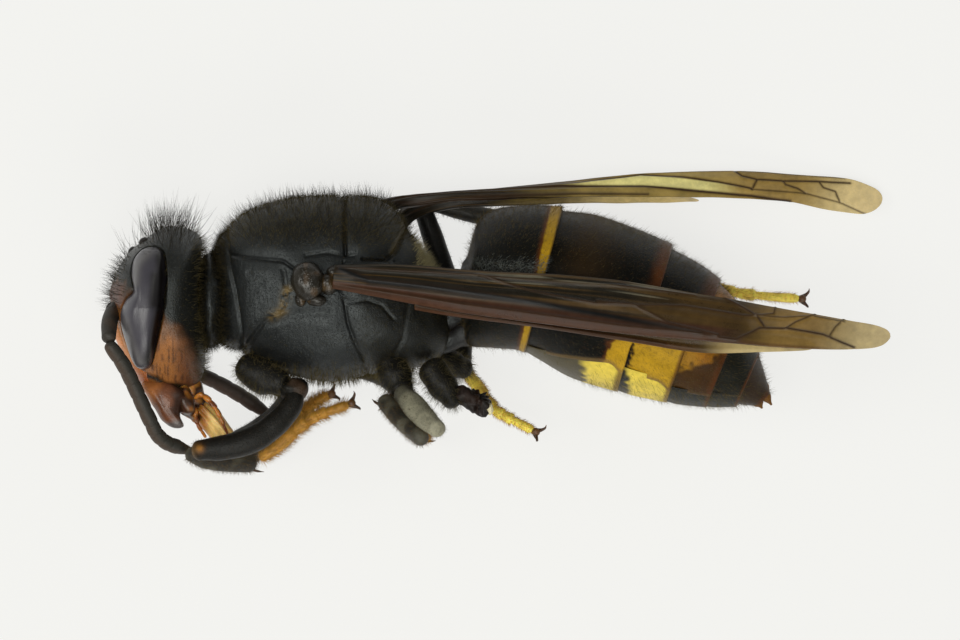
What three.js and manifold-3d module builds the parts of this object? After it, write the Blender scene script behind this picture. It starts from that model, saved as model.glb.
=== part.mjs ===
// Yellow-legged (Asian) hornet, a dried worker lying on its right side.
// Millimetres. +X runs from the head to the wing tips, +Y from the belly to the back,
// +Z from the side that lies on the floor up to the left side. The floor is z = 0.
import * as THREE from 'three';
import { mergeVertices } from 'three/addons/utils/BufferGeometryUtils.js';
import Module from 'manifold-3d';

const wasm = await Module();
wasm.setup();

// Driving dimensions, in millimetres
const gap = 0.3; // clearance between neighbouring plates and joints
const midHeight = 3.15; // height of the body's middle plane above the floor
const headHalfWidth = 2.6;
const eyeHalfWidth = 2.85;
const thoraxHalfWidth = 2.52;
const neckRadius = 0.8;
const ocellusRadius = 0.2;
const tegulaRadius = 0.56;
const flagellumRadius = 0.25;
const scapeRadius = 0.27;
const tarsusRadius = 0.25;
const femurRadius = 0.42;
const clawLength = 0.34;
const wingThickness = 0.46;
const veinHeight = 0.12;
const longest = 40; // longer than the whole insect, for the cutting prisms

// Shape helpers

function solidFrom(geometry) {
  geometry.deleteAttribute('normal');
  geometry.deleteAttribute('uv');
  const merged = mergeVertices(geometry, 1e-4);
  const position = merged.attributes.position;
  const vertProperties = new Float32Array(position.array);
  const triVerts = new Uint32Array(merged.index.array);
  const a = new THREE.Vector3();
  const b = new THREE.Vector3();
  const c = new THREE.Vector3();
  let volume = 0;
  for (let i = 0; i < triVerts.length; i += 3) {
    a.fromBufferAttribute(position, triVerts[i]);
    b.fromBufferAttribute(position, triVerts[i + 1]);
    c.fromBufferAttribute(position, triVerts[i + 2]);
    volume += a.dot(b.cross(c));
  }
  if (volume < 0) {
    for (let i = 0; i < triVerts.length; i += 3) {
      const first = triVerts[i];
      triVerts[i] = triVerts[i + 1];
      triVerts[i + 1] = first;
    }
  }
  return new wasm.Manifold(new wasm.Mesh({ numProp: 3, vertProperties, triVerts }));
}

function dropDegenerate(geometry) {
  const merged = mergeVertices(geometry, 1e-4);
  const kept = [];
  const index = merged.index.array;
  for (let i = 0; i < index.length; i += 3) {
    const [p, q, r] = [index[i], index[i + 1], index[i + 2]];
    if (p !== q && q !== r && r !== p) {
      kept.push(p, q, r);
    }
  }
  merged.setIndex(kept);
  return merged;
}

// A sphere whose rows (t from 0 to 1) and columns (angle) are set out by a function.
function warpedSphere(around, rows, place) {
  const geometry = new THREE.SphereGeometry(1, around, rows);
  const position = geometry.attributes.position;
  for (let row = 0; row <= rows; row += 1) {
    for (let column = 0; column <= around; column += 1) {
      const angle = ((column % around) / around) * Math.PI * 2;
      const point = place(row, angle);
      position.setXYZ(row * (around + 1) + column, point.x, point.y, point.z);
    }
  }
  geometry.deleteAttribute('normal');
  geometry.deleteAttribute('uv');
  return solidFrom(dropDegenerate(geometry));
}

function valueAt(list, t) {
  const last = list.length - 1;
  const place = THREE.MathUtils.clamp(t, 0, 1) * last;
  const index = Math.min(Math.floor(place), last - 1);
  const share = THREE.MathUtils.smoothstep(place - index, 0, 1);
  return list[index] + (list[index + 1] - list[index]) * share;
}

function vectors(points) {
  return points.map(([x, y, z = 0]) => new THREE.Vector3(x, y, z));
}

// A limb: round section with a radius that changes along a smooth line, and domed ends.
function limb({ points, radii, around = 7, steps = 5, flat = 1, grow = 0 }) {
  const curve = new THREE.CatmullRomCurve3(vectors(points), false, 'centripetal');
  const frames = curve.computeFrenetFrames(steps, false);
  const rows = steps + 4;
  return warpedSphere(around, rows, (row, angle) => {
    const step = THREE.MathUtils.clamp(row - 2, 0, steps);
    const share = step / steps;
    const radius = valueAt(radii, share) + grow;
    const centre = curve.getPointAt(share);
    const fromEnd = Math.min(row, rows - row);
    const side = row < rows / 2 ? -1 : 1;
    const push = [0.75, 0.45, 0][Math.min(fromEnd, 2)] * radius;
    const size = [0, 0.72, 1][Math.min(fromEnd, 2)] * radius;
    centre.addScaledVector(frames.tangents[step], side * push);
    centre.addScaledVector(frames.normals[step], Math.cos(angle) * size);
    centre.addScaledVector(frames.binormals[step], Math.sin(angle) * size * flat);
    return centre;
  });
}

// A rounded body with a drawn side outline and a half width that a function gives.
function roundedOutline(shape) {
  const { outline, centre, halfWidth, z = 0, square = 2.6, around = 24, rows = 12, grow = 0 } = shape;
  const curve = new THREE.CatmullRomCurve3(vectors(outline), true, 'centripetal');
  const middle = new THREE.Vector3(centre[0], centre[1], 0);
  return warpedSphere(around, rows, (row, angle) => {
    const share = angle / (Math.PI * 2);
    const edge = curve.getPoint(share);
    const tangent = curve.getTangent(share);
    const outward = new THREE.Vector3(tangent.y, -tangent.x, 0).normalize();
    const away = edge.clone().sub(middle);
    if (outward.dot(away) < 0) {
      outward.negate();
    }
    edge.addScaledVector(outward, grow);
    const tilt = (row / rows) * Math.PI;
    const reach = Math.sin(tilt) ** (2 / square);
    const point = middle.clone().lerp(edge, row === 0 || row === rows ? 0 : reach);
    const half = halfWidth(point.x, point.y) + grow;
    point.z = z + half * Math.cos(tilt);
    return point;
  });
}

// An upright prism over a polygon, used to part a body into its plates.
function prism(polygon, low = -longest / 2, high = longest / 2) {
  const shape = new THREE.Shape(polygon.map(([x, y]) => new THREE.Vector2(x, y)));
  const geometry = new THREE.ExtrudeGeometry(shape, { depth: high - low, bevelEnabled: false });
  geometry.translate(0, 0, low);
  return solidFrom(geometry);
}

function blob(centre, radius, grow = 0, around = 8) {
  const geometry = new THREE.SphereGeometry(radius + grow, around, Math.max(4, around - 3));
  geometry.translate(...centre);
  return solidFrom(dropDegenerate(geometry));
}

function spike(base, tip, radius, grow = 0) {
  const from = new THREE.Vector3(...base);
  const to = new THREE.Vector3(...tip);
  const length = from.distanceTo(to) + grow;
  const geometry = new THREE.CylinderGeometry(0.05 + grow, radius + grow, length, 5, 1);
  geometry.translate(0, length / 2, 0);
  const turn = new THREE.Quaternion();
  turn.setFromUnitVectors(new THREE.Vector3(0, 1, 0), to.clone().sub(from).normalize());
  geometry.applyQuaternion(turn);
  geometry.translate(...base);
  return solidFrom(geometry);
}

function joined(solids) {
  return solids.reduce((sum, solid) => sum.add(solid));
}

function largest(solid) {
  const parts = solid.decompose();
  return parts.reduce((best, part) => (part.volume() > best.volume() ? part : best));
}

// Placing the pieces

const insect = new THREE.Group();
const placed = [];
const floorCut = prism([[-30, -30], [30, -30], [30, 30], [-30, 30]], -midHeight - 12, -midHeight);

function material(color, roughness = 0.4, metalness = 0) {
  return new THREE.MeshStandardMaterial({ color, roughness, metalness });
}

function boxesMeet(first, second) {
  for (let axis = 0; axis < 3; axis += 1) {
    if (first.min[axis] > second.max[axis] || first.max[axis] < second.min[axis]) {
      return false;
    }
  }
  return true;
}

function clearOfPlaced(solid, skip = []) {
  let result = solid;
  for (const other of placed) {
    if (!skip.includes(other.name) && boxesMeet(result.boundingBox(), other.box)) {
      result = result.subtract(other.swollen);
    }
  }
  return result;
}

function keepClearOf(name, swollen) {
  placed.push({ name, swollen, box: swollen.boundingBox() });
}

function addMesh(name, solid, look) {
  const body = largest(solid.subtract(floorCut));
  const mesh = body.getMesh();
  const geometry = new THREE.BufferGeometry();
  geometry.setAttribute('position', new THREE.BufferAttribute(mesh.vertProperties, 3));
  geometry.setIndex(new THREE.BufferAttribute(mesh.triVerts, 1));
  geometry.computeVertexNormals();
  const result = new THREE.Mesh(geometry, look);
  result.name = name;
  insect.add(result);
}

// Adds a piece that a function of its growth makes, cut clear of all that is there already.
function addPiece(name, shape, look, skip = []) {
  addMesh(name, clearOfPlaced(shape(0), skip), look);
  keepClearOf(name, shape(gap));
}

const black = material(0x1a1614, 0.35);
const darkBrown = material(0x2c1a12, 0.4);
const orangeBrown = material(0x8a4a20, 0.45);
const yellow = material(0xc98a2c, 0.45);
const eyeGrey = material(0x57505a, 0.2);
const legYellow = material(0xd1a03a, 0.5);
const amberWing = material(0x8f6a34, 0.3);

// Eyes: kidney-shaped, notched in front, set into the sides of the head

const eyeOutline = [
  [-11.55, 2.32], [-11.05, 2.27], [-10.96, 1.5], [-11.05, 0.3], [-11.25, -0.8],
  [-11.5, -1.58], [-11.85, -1.6], [-12.22, -0.8], [-12.4, 0.1], [-12.22, 0.66],
  [-11.99, 0.95], [-12.05, 1.5], [-11.9, 2.05],
];

function eye(side, grow = 0) {
  return roundedOutline({
    outline: eyeOutline,
    centre: [-11.6, 0.35],
    halfWidth: (x, y) => 1.15 - 0.1 * Math.abs(y - 0.35),
    z: side * (eyeHalfWidth - 1.15),
    square: 3,
    around: 18,
    rows: 6,
    grow,
  });
}

addPiece('eye_left', (grow) => eye(1, grow), eyeGrey);
addPiece('eye_right', (grow) => eye(-1, grow), eyeGrey.clone());

// Head capsule with its three ocelli; the clypeus is parted off below the antennae

const headOutline = [
  [-10.3, 3.0], [-10.9, 3.06], [-11.5, 2.72], [-12.1, 2.25], [-12.55, 1.6], [-12.68, 0.9],
  [-12.66, 0.3], [-12.5, -0.5], [-12.2, -1.3], [-11.75, -2.05], [-11.3, -2.38],
  [-10.4, -2.4], [-9.9, -2.2], [-9.66, -1.6], [-9.68, -0.4], [-9.7, 1.2], [-9.7, 2.2], [-9.85, 2.75],
];

function headWidthAt(x, y) {
  const low = THREE.MathUtils.smoothstep(-y, 0.4, 2.6);
  const high = THREE.MathUtils.smoothstep(y, 1.6, 3.2);
  const rear = THREE.MathUtils.smoothstep(x, -10.6, -9.6);
  return headHalfWidth * (1 - 0.42 * low) * (1 - 0.12 * high) * (1 - 0.12 * rear);
}

function headBody(grow = 0) {
  return roundedOutline({
    outline: headOutline,
    centre: [-11.0, 0.35],
    halfWidth: headWidthAt,
    square: 3.4,
    around: 24,
    rows: 10,
    grow,
  });
}

const clypeusSide = [[-13.2, 0.05], [-12.0, 0.05], [-11.55, -1.0], [-11.0, -2.05], [-10.95, -3.0], [-13.2, -3.0]];
const clypeusSocket = [[-13.4, 0.35], [-11.8, 0.35], [-11.25, -1.0], [-10.7, -2.0], [-10.65, -3.2], [-13.4, -3.2]];
const clypeusHalfWidth = 1.15;

// The neck stands out of the pronotum into the hollow back of the head
function neck(grow = 0) {
  return limb({ points: [[-8.9, 1.0], [-9.4, 0.98]], radii: [neckRadius, neckRadius], around: 10, steps: 1, grow });
}

const headWhole = headBody();
const ocelli = [[-11.98, 2.2, 0], [-11.62, 2.5, 0.42], [-11.62, 2.5, -0.42]];
const headParted = clearOfPlaced(headWhole);
const clypeusSpace = prism(clypeusSocket, -clypeusHalfWidth - gap, clypeusHalfWidth + gap);
const headCapsule = joined([headParted, ...ocelli.map((centre) => blob(centre, ocellusRadius))]);
addMesh('head_capsule', headCapsule.subtract(clypeusSpace).subtract(neck(gap)), black);
const clypeus = headParted.intersect(prism(clypeusSide, -clypeusHalfWidth, clypeusHalfWidth));
addMesh('clypeus', clypeus, yellow);
keepClearOf('head', headBody(gap));

// Mandibles, one on each side, meeting below the face

const mandibleOutline = [
  [-11.68, -2.2], [-11.5, -2.61], [-11.3, -2.95], [-11.0, -3.4], [-10.6, -3.6],
  [-10.33, -3.53], [-10.54, -3.2], [-10.66, -2.86], [-10.55, -2.45], [-10.95, -2.1],
];

function mandible(side, grow = 0) {
  return roundedOutline({
    outline: mandibleOutline,
    centre: [-10.98, -2.85],
    halfWidth: () => 0.42,
    z: side * 0.72,
    square: 3,
    around: 18,
    rows: 6,
    grow,
  });
}

addPiece('mandible_left', (grow) => mandible(1, grow), orangeBrown);
addPiece('mandible_right', (grow) => mandible(-1, grow), orangeBrown.clone());

// Tongue with the maxillae at its root, and the jointed palps beside it

function labium(grow = 0) {
  const root = limb({
    points: [[-10.2, -2.3], [-9.95, -2.8], [-9.7, -3.1]],
    radii: [0.5, 0.42, 0.3],
    steps: 3,
    grow,
  });
  const tongue = limb({
    points: [[-9.75, -3.0], [-9.45, -3.33], [-9.04, -3.85]],
    radii: [0.3, 0.36, 0.34],
    flat: 1.5,
    steps: 3,
    grow,
  });
  return root.add(tongue);
}

function palps(side, grow = 0) {
  const outer = [[-9.75, -2.5, side * 0.72], [-9.34, -2.87, side * 0.95], [-9.1, -3.3, side * 1.0], [-8.88, -3.8, side * 0.9]];
  const inner = [[-9.95, -2.95, side * 0.6], [-9.9, -3.4, side * 0.7], [-9.62, -3.9, side * 0.62]];
  const root = [[-9.75, -2.45, side * 0.72], [-9.95, -2.95, side * 0.62]];
  return joined([
    limb({ points: outer, radii: [0.24, 0.25, 0.24, 0.18], around: 6, steps: 5, grow }),
    limb({ points: inner, radii: [0.24, 0.22, 0.15], around: 6, steps: 4, grow }),
    limb({ points: root, radii: [0.24, 0.24], around: 6, steps: 1, grow }),
  ]);
}

addPiece('labium', labium, orangeBrown.clone());
addPiece('palps_left', (grow) => palps(1, grow), orangeBrown.clone());
addPiece('palps_right', (grow) => palps(-1, grow), orangeBrown.clone());

// Mesosoma: one body parted into pronotum, scutum, scutellum, mesopleuron and propodeum

const thoraxOutline = [
  [-9.38, 0.9], [-9.36, 2.0], [-9.02, 2.85], [-8.3, 3.48], [-7.2, 3.88], [-5.8, 4.05],
  [-4.4, 4.02], [-3.55, 3.78], [-3.05, 3.2], [-2.65, 2.5], [-2.15, 1.6], [-1.75, 0.8],
  [-1.55, 0.0], [-1.56, -0.8], [-1.95, -1.36], [-3.1, -1.68], [-4.4, -1.88], [-5.4, -2.08],
  [-6.8, -1.82], [-8.3, -1.2], [-9.1, -0.75], [-9.35, -0.1],
];

function thoraxWidthAt(x) {
  const front = THREE.MathUtils.smoothstep(-x, 6.8, 9.6);
  const rear = THREE.MathUtils.smoothstep(x, -4.6, -1.6);
  return thoraxHalfWidth * (1 - 0.12 * front) * (1 - 0.26 * rear);
}

function thoraxBody(grow = 0) {
  return roundedOutline({
    outline: thoraxOutline,
    centre: [-5.4, 1.0],
    halfWidth: thoraxWidthAt,
    square: 2.7,
    around: 26,
    rows: 10,
    grow,
  });
}

const thoraxPlates = {
  pronotum: [
    [-10.2, 4.6], [-8.98, 4.6], [-8.92, 1.86], [-7.06, 1.86], [-7.03, 0.43],
    [-7.76, -0.1], [-8.48, -1.09], [-8.61, -2.9], [-10.2, -2.9],
  ],
  mesoscutum: [[-8.68, 4.6], [-5.16, 4.6], [-5.16, 2.2], [-8.62, 2.18]],
  scutellum: [[-4.86, 4.6], [-2.86, 4.6], [-2.98, 2.77], [-3.33, 2.1], [-4.86, 2.22]],
  mesopleuron: [
    [-6.74, 1.88], [-5.08, 1.88], [-5.08, 0.2], [-4.3, -1.6], [-4.05, -2.9],
    [-8.3, -2.9], [-8.18, -1.19], [-7.5, -0.3], [-6.74, 0.28],
  ],
  propodeum: [
    [-4.76, 1.9], [-3.2, 1.78], [-2.85, 2.12], [-0.8, 2.12], [-0.8, -2.9],
    [-3.73, -2.9], [-4.0, -1.5], [-4.78, 0.3],
  ],
};

// The waist sits in a socket of the propodeum and of the first tergite
function waist(grow = 0) {
  return limb({
    points: [[-1.95, -0.2], [-1.4, 0.15], [-0.75, 0.5]],
    radii: [0.42, 0.34, 0.42],
    around: 10,
    steps: 4,
    grow,
  });
}

const thoraxWhole = clearOfPlaced(thoraxBody()).subtract(waist(gap));
for (const [name, polygon] of Object.entries(thoraxPlates)) {
  const plate = thoraxWhole.intersect(prism(polygon));
  addMesh(name, name === 'pronotum' ? plate.add(neck()) : plate, black.clone());
}
addMesh('petiole', waist(), black.clone());
keepClearOf('petiole', waist(gap));
const thoraxSwollen = thoraxBody(gap);

// Gaster: elliptic rings along a curved axis, from the drawn upper and lower outline

const gasterRings = [
  { top: [-1.0, 2.1], bottom: [-1.12, -0.2], half: 1.3 },
  { top: [-0.5, 3.38], bottom: [-0.95, -0.86], half: 2.25 },
  { top: [0.65, 3.74], bottom: [-0.17, -0.95], half: 2.95 },
  { top: [2.15, 3.68], bottom: [0.9, -1.08], half: 3.15 },
  { top: [3.75, 3.28], bottom: [2.45, -1.92], half: 3.25 },
  { top: [5.77, 2.44], bottom: [4.3, -2.46], half: 3.2 },
  { top: [7.36, 1.28], bottom: [5.85, -2.76], half: 2.72 },
  { top: [8.17, 0.15], bottom: [6.97, -2.86], half: 2.1 },
  { top: [8.65, -1.15], bottom: [7.88, -2.84], half: 1.36 },
  { top: [9.0, -2.45], bottom: [8.62, -2.86], half: 0.36 },
];
const tergiteEnds = [0, 3, 5, 6, 7, 8, 9]; // ring numbers at which the tergites part
const topLine = new THREE.CatmullRomCurve3(vectors(gasterRings.map((ring) => ring.top)));
const bottomLine = new THREE.CatmullRomCurve3(vectors(gasterRings.map((ring) => ring.bottom)));
const lastRing = gasterRings.length - 1;

function gasterHalfWidth(share) {
  const list = gasterRings.map((ring) => ring.half);
  const curve = new THREE.CatmullRomCurve3(list.map((half, i) => new THREE.Vector3(i, half, 0)));
  return curve.getPoint(share).y;
}

function axisPoint(ring) {
  const share = ring / lastRing;
  return topLine.getPoint(share).add(bottomLine.getPoint(share)).multiplyScalar(0.5);
}

// One telescoping ring of the gaster; its front rim is a little smaller than its rear rim.
function gasterRing(from, to, grow = 0) {
  const steps = Math.max(2, Math.round((to - from) * 2));
  const rows = steps + 4;
  return warpedSphere(24, rows, (row, angle) => {
    const step = THREE.MathUtils.clamp(row - 2, 0, steps);
    const share = (from + ((to - from) * step) / steps) / lastRing;
    const top = topLine.getPoint(share);
    const bottom = bottomLine.getPoint(share);
    const centre = top.clone().add(bottom).multiplyScalar(0.5);
    const half = top.clone().sub(bottom).multiplyScalar(0.5);
    const fromEnd = Math.min(row, rows - row);
    const rim = 0.965 + 0.035 * Math.min(1, step / 2);
    const size = [0, 0.86, rim][Math.min(fromEnd, 2)];
    const height = half.length() + grow;
    const upright = top.clone().sub(bottom).normalize();
    const point = centre.addScaledVector(upright, height * size * Math.cos(angle));
    point.z = (gasterHalfWidth(share) + grow) * size * Math.sin(angle);
    const along = new THREE.Vector3(upright.y, -upright.x, 0);
    const dome = [0.05, 0.05, 0][Math.min(fromEnd, 2)] + grow;
    const side = row < rows / 2 ? -1 : 1;
    return point.addScaledVector(along, side * (fromEnd < 3 ? dome : 0));
  });
}

// The lower edge of the tergites, seen from the side
const pleuralLine = [[-3, -1.3], [0.95, -1.0], [3.07, -1.42], [4.3, -1.52], [5.78, -2.1], [6.9, -2.26], [8.2, -2.42], [12, -2.5]];
const aboveLine = [...pleuralLine.map(([x, y]) => [x, y + gap / 2]), [12, 8], [-3, 8]];
const belowLine = [...pleuralLine.map(([x, y]) => [x, y - gap / 2]), [12, -8], [-3, -8]];
const tergiteSide = prism(aboveLine);
const sterniteSide = prism(belowLine);
const tergiteLooks = [black, black, yellow, yellow, darkBrown, darkBrown];

for (let i = 0; i < 6; i += 1) {
  const step = (at, other) => (gap / 2 + 0.05) / axisPoint(at).distanceTo(axisPoint(other));
  const start = tergiteEnds[i];
  const end = tergiteEnds[i + 1];
  const from = start + (i === 0 ? 0 : step(start, start + 1));
  const to = end - (i === 5 ? 0 : step(end, end - 1));
  const whole = clearOfPlaced(gasterRing(from, to));
  const split = i > 0 && i < 5;
  addMesh(`tergite_${i + 1}`, split ? whole.intersect(tergiteSide) : whole, tergiteLooks[i].clone());
  if (split && i < 4) {
    addMesh(`sternite_${i + 1}`, whole.intersect(sterniteSide), yellow.clone());
  }
}
keepClearOf('thorax', thoraxSwollen);
keepClearOf('gaster', gasterRing(0, lastRing, gap));

// Tegulae over the wing roots

function tegula(side, grow = 0) {
  return roundedOutline({
    outline: [[-6.8, 1.2], [-6.6, 1.75], [-6.1, 1.85], [-5.72, 1.45], [-5.78, 0.85], [-6.3, 0.6]],
    centre: [-6.25, 1.25],
    halfWidth: () => tegulaRadius,
    z: side * (midHeight - 0.45),
    around: 12,
    rows: 6,
    grow,
  });
}

addPiece('tegula_left', (grow) => tegula(1, grow), orangeBrown.clone());
addPiece('tegula_right', (grow) => tegula(-1, grow), orangeBrown.clone());

// Wings: folded lengthwise, each a narrow blade with its veins raised along it

const veinRows = { fore: [0.6, 1, 0, 0.9, 0, 0.8, 0, 0.5], hind: [0.6, 1, 0, 0.8, 0.3] };

function wing({ costa, fold, face, veins, grow = 0 }) {
  const along = veins === 'fore' ? 15 : 12;
  const across = veinRows[veins].length - 1;
  const geometry = new THREE.BoxGeometry(1, 1, 1, along, across, 1);
  const lead = new THREE.CatmullRomCurve3(vectors(costa), false, 'centripetal');
  const trail = new THREE.CatmullRomCurve3(vectors(fold), false, 'centripetal');
  const index = geometry.index.array;
  const back = geometry.groups[5];
  for (let i = back.start; i < back.start + back.count; i += 6) {
    const [a, b, d, , c] = index.slice(i, i + 6);
    index.set([a, b, c, a, c, d], i);
  }
  const surface = (u, v) => {
    const point = lead.getPointAt(u).lerp(trail.getPointAt(u), v);
    return point;
  };
  const position = geometry.attributes.position;
  for (let i = 0; i < position.count; i += 1) {
    const u = position.getX(i) + 0.5;
    const v = position.getY(i) + 0.5;
    const up = position.getZ(i) > 0;
    const near = surface(Math.max(0, u - 0.02), v);
    const far = surface(Math.min(1, u + 0.02), v);
    const normal = far.sub(near).cross(surface(u, 1).sub(surface(u, 0))).normalize();
    if (normal.z < 0) {
      normal.negate();
    }
    const taper = 1 - 0.35 * THREE.MathUtils.smoothstep(u, 0.9, 1);
    const vein = veinRows[veins][Math.round(v * across)] * veinHeight * taper;
    const thickness = (wingThickness / 2) * taper + grow;
    const raised = up === face > 0 ? vein : 0;
    const offset = (up ? 1 : -1) * (thickness + raised);
    const outward = surface(u, 1).sub(surface(u, 0)).normalize();
    const point = surface(u, v).addScaledVector(normal, offset);
    point.addScaledVector(outward, (v < 0.01 ? -1 : v > 0.99 ? 1 : 0) * grow);
    position.setXYZ(i, point.x, point.y, point.z);
  }
  return solidFrom(geometry);
}

const wings = {
  forewing_left: {
    face: 1,
    veins: 'fore',
    costa: [
      [-5.4, 1.0, 3.05], [-3.93, 0.72, 3.3], [-1.55, 0.27, 3.8], [1.12, -0.1, 4.3], [4.06, -0.46, 4.7],
      [6.7, -0.7, 5.0], [9.74, -0.9, 5.25], [11.88, -0.85, 5.35], [12.65, -0.68, 5.38],
    ],
    fold: [
      [-5.33, 1.78, 3.05], [-3.33, 1.8, 3.25], [-0.56, 1.58, 3.5], [2.08, 1.45, 3.75], [4.06, 1.25, 3.88],
      [6.57, 0.83, 4.05], [9.11, 0.38, 4.3], [11.62, -0.07, 4.8], [12.95, -0.35, 5.2],
    ],
  },
  hindwing_left: {
    face: 1,
    veins: 'hind',
    costa: [
      [-2.7, 0.3, 2.66], [-1.55, 0.1, 2.85], [1.12, -0.25, 3.35], [4.06, -0.7, 3.85],
      [6.7, -1.1, 4.15], [8.68, -1.08, 4.38], [10.5, -1.02, 4.55],
    ],
    fold: [
      [-2.7, 0.92, 2.66], [-1.55, 0.72, 2.8], [1.12, 0.35, 3.3], [4.06, 0.05, 3.74],
      [6.7, -0.3, 3.95], [8.68, -0.5, 4.12], [10.42, -0.7, 4.4],
    ],
  },
  forewing_right: {
    face: -1,
    veins: 'fore',
    costa: [
      [-5.0, 2.9, -2.45], [-4.6, 3.6, -1.9], [-3.6, 3.98, -1.5], [-1.82, 4.15, -1.3], [0.2, 4.33, -1.35],
      [2.54, 4.58, -1.6], [4.72, 4.8, -1.9], [7.95, 4.9, -2.4], [10.2, 4.76, -2.72], [11.75, 4.62, -2.85],
      [12.95, 4.15, -2.88],
    ],
    fold: [
      [-4.6, 2.7, -2.3], [-4.2, 3.2, -1.7], [-3.3, 3.66, -1.15], [-1.58, 3.95, -0.9], [0.2, 4.03, -0.9],
      [2.54, 4.05, -1.1], [4.88, 4.05, -1.35], [8.18, 4.0, -1.9], [9.6, 3.93, -2.2], [10.9, 3.72, -2.45],
      [12.55, 3.48, -2.72],
    ],
  },
  hindwing_right: {
    face: -1,
    veins: 'hind',
    costa: [
      [-3.6, 3.1, -2.6], [-3.07, 3.7, -2.35], [-1.82, 4.05, -2.1], [0.2, 4.12, -2.15],
      [2.54, 4.22, -2.45], [4.72, 4.22, -2.7], [6.6, 4.0, -2.8],
    ],
    fold: [
      [-3.2, 2.75, -2.5], [-2.7, 3.3, -2.1], [-1.58, 3.66, -1.75], [0.2, 3.76, -1.8],
      [2.54, 3.84, -2.05], [4.88, 3.86, -2.3], [6.75, 3.88, -2.55],
    ],
  },
};

for (const name of ['forewing_left', 'forewing_right', 'hindwing_left', 'hindwing_right']) {
  addPiece(name, (grow) => wing({ ...wings[name], grow }), amberWing.clone());
}

// Antennae: a long scape, and a flagellum in two lengths

const antennae = {
  left: {
    scape: [[-12.55, 0.42, 0.8], [-12.75, -0.05, 1.6], [-12.78, -0.6, 2.2]],
    flagellum_1: [[-12.72, -0.9, 2.3], [-12.31, -1.49, 2.0], [-11.96, -2.2, 1.6], [-11.68, -2.81, 1.5], [-11.55, -3.1, 1.45]],
    flagellum_2: [[-11.39, -3.43, 1.35], [-11.22, -3.78, 1.15], [-10.89, -4.08, 0.85], [-10.53, -4.22, 0.6], [-10.2, -4.33, 0.4]],
  },
  right: {
    scape: [[-12.6, 0.42, -0.8], [-12.68, 0.25, -1.55], [-12.6, 0.05, -2.3]],
    flagellum_1: [[-12.44, -0.23, -2.75], [-11.95, -0.83, -2.93], [-10.96, -1.39, -2.94], [-10.13, -1.72, -2.94]],
    flagellum_2: [[-9.8, -1.85, -2.94], [-9.31, -2.08, -2.94], [-8.48, -2.54, -2.94], [-7.56, -3.17, -2.94]],
  },
};

for (const [side, lengths] of Object.entries(antennae)) {
  for (const [name, points] of Object.entries(lengths)) {
    const thick = name === 'scape' ? scapeRadius : flagellumRadius;
    const end = name === 'flagellum_2' ? 0.16 : thick;
    const radii = [thick, thick, thick, (thick + end) / 2, end];
    addPiece(`antenna_${side}_${name}`, (grow) => limb({ points, radii, steps: 5, grow }), darkBrown.clone());
  }
}

// Legs. Each runs from coxa to claws; points are joints and bends along its middle line.

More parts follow.
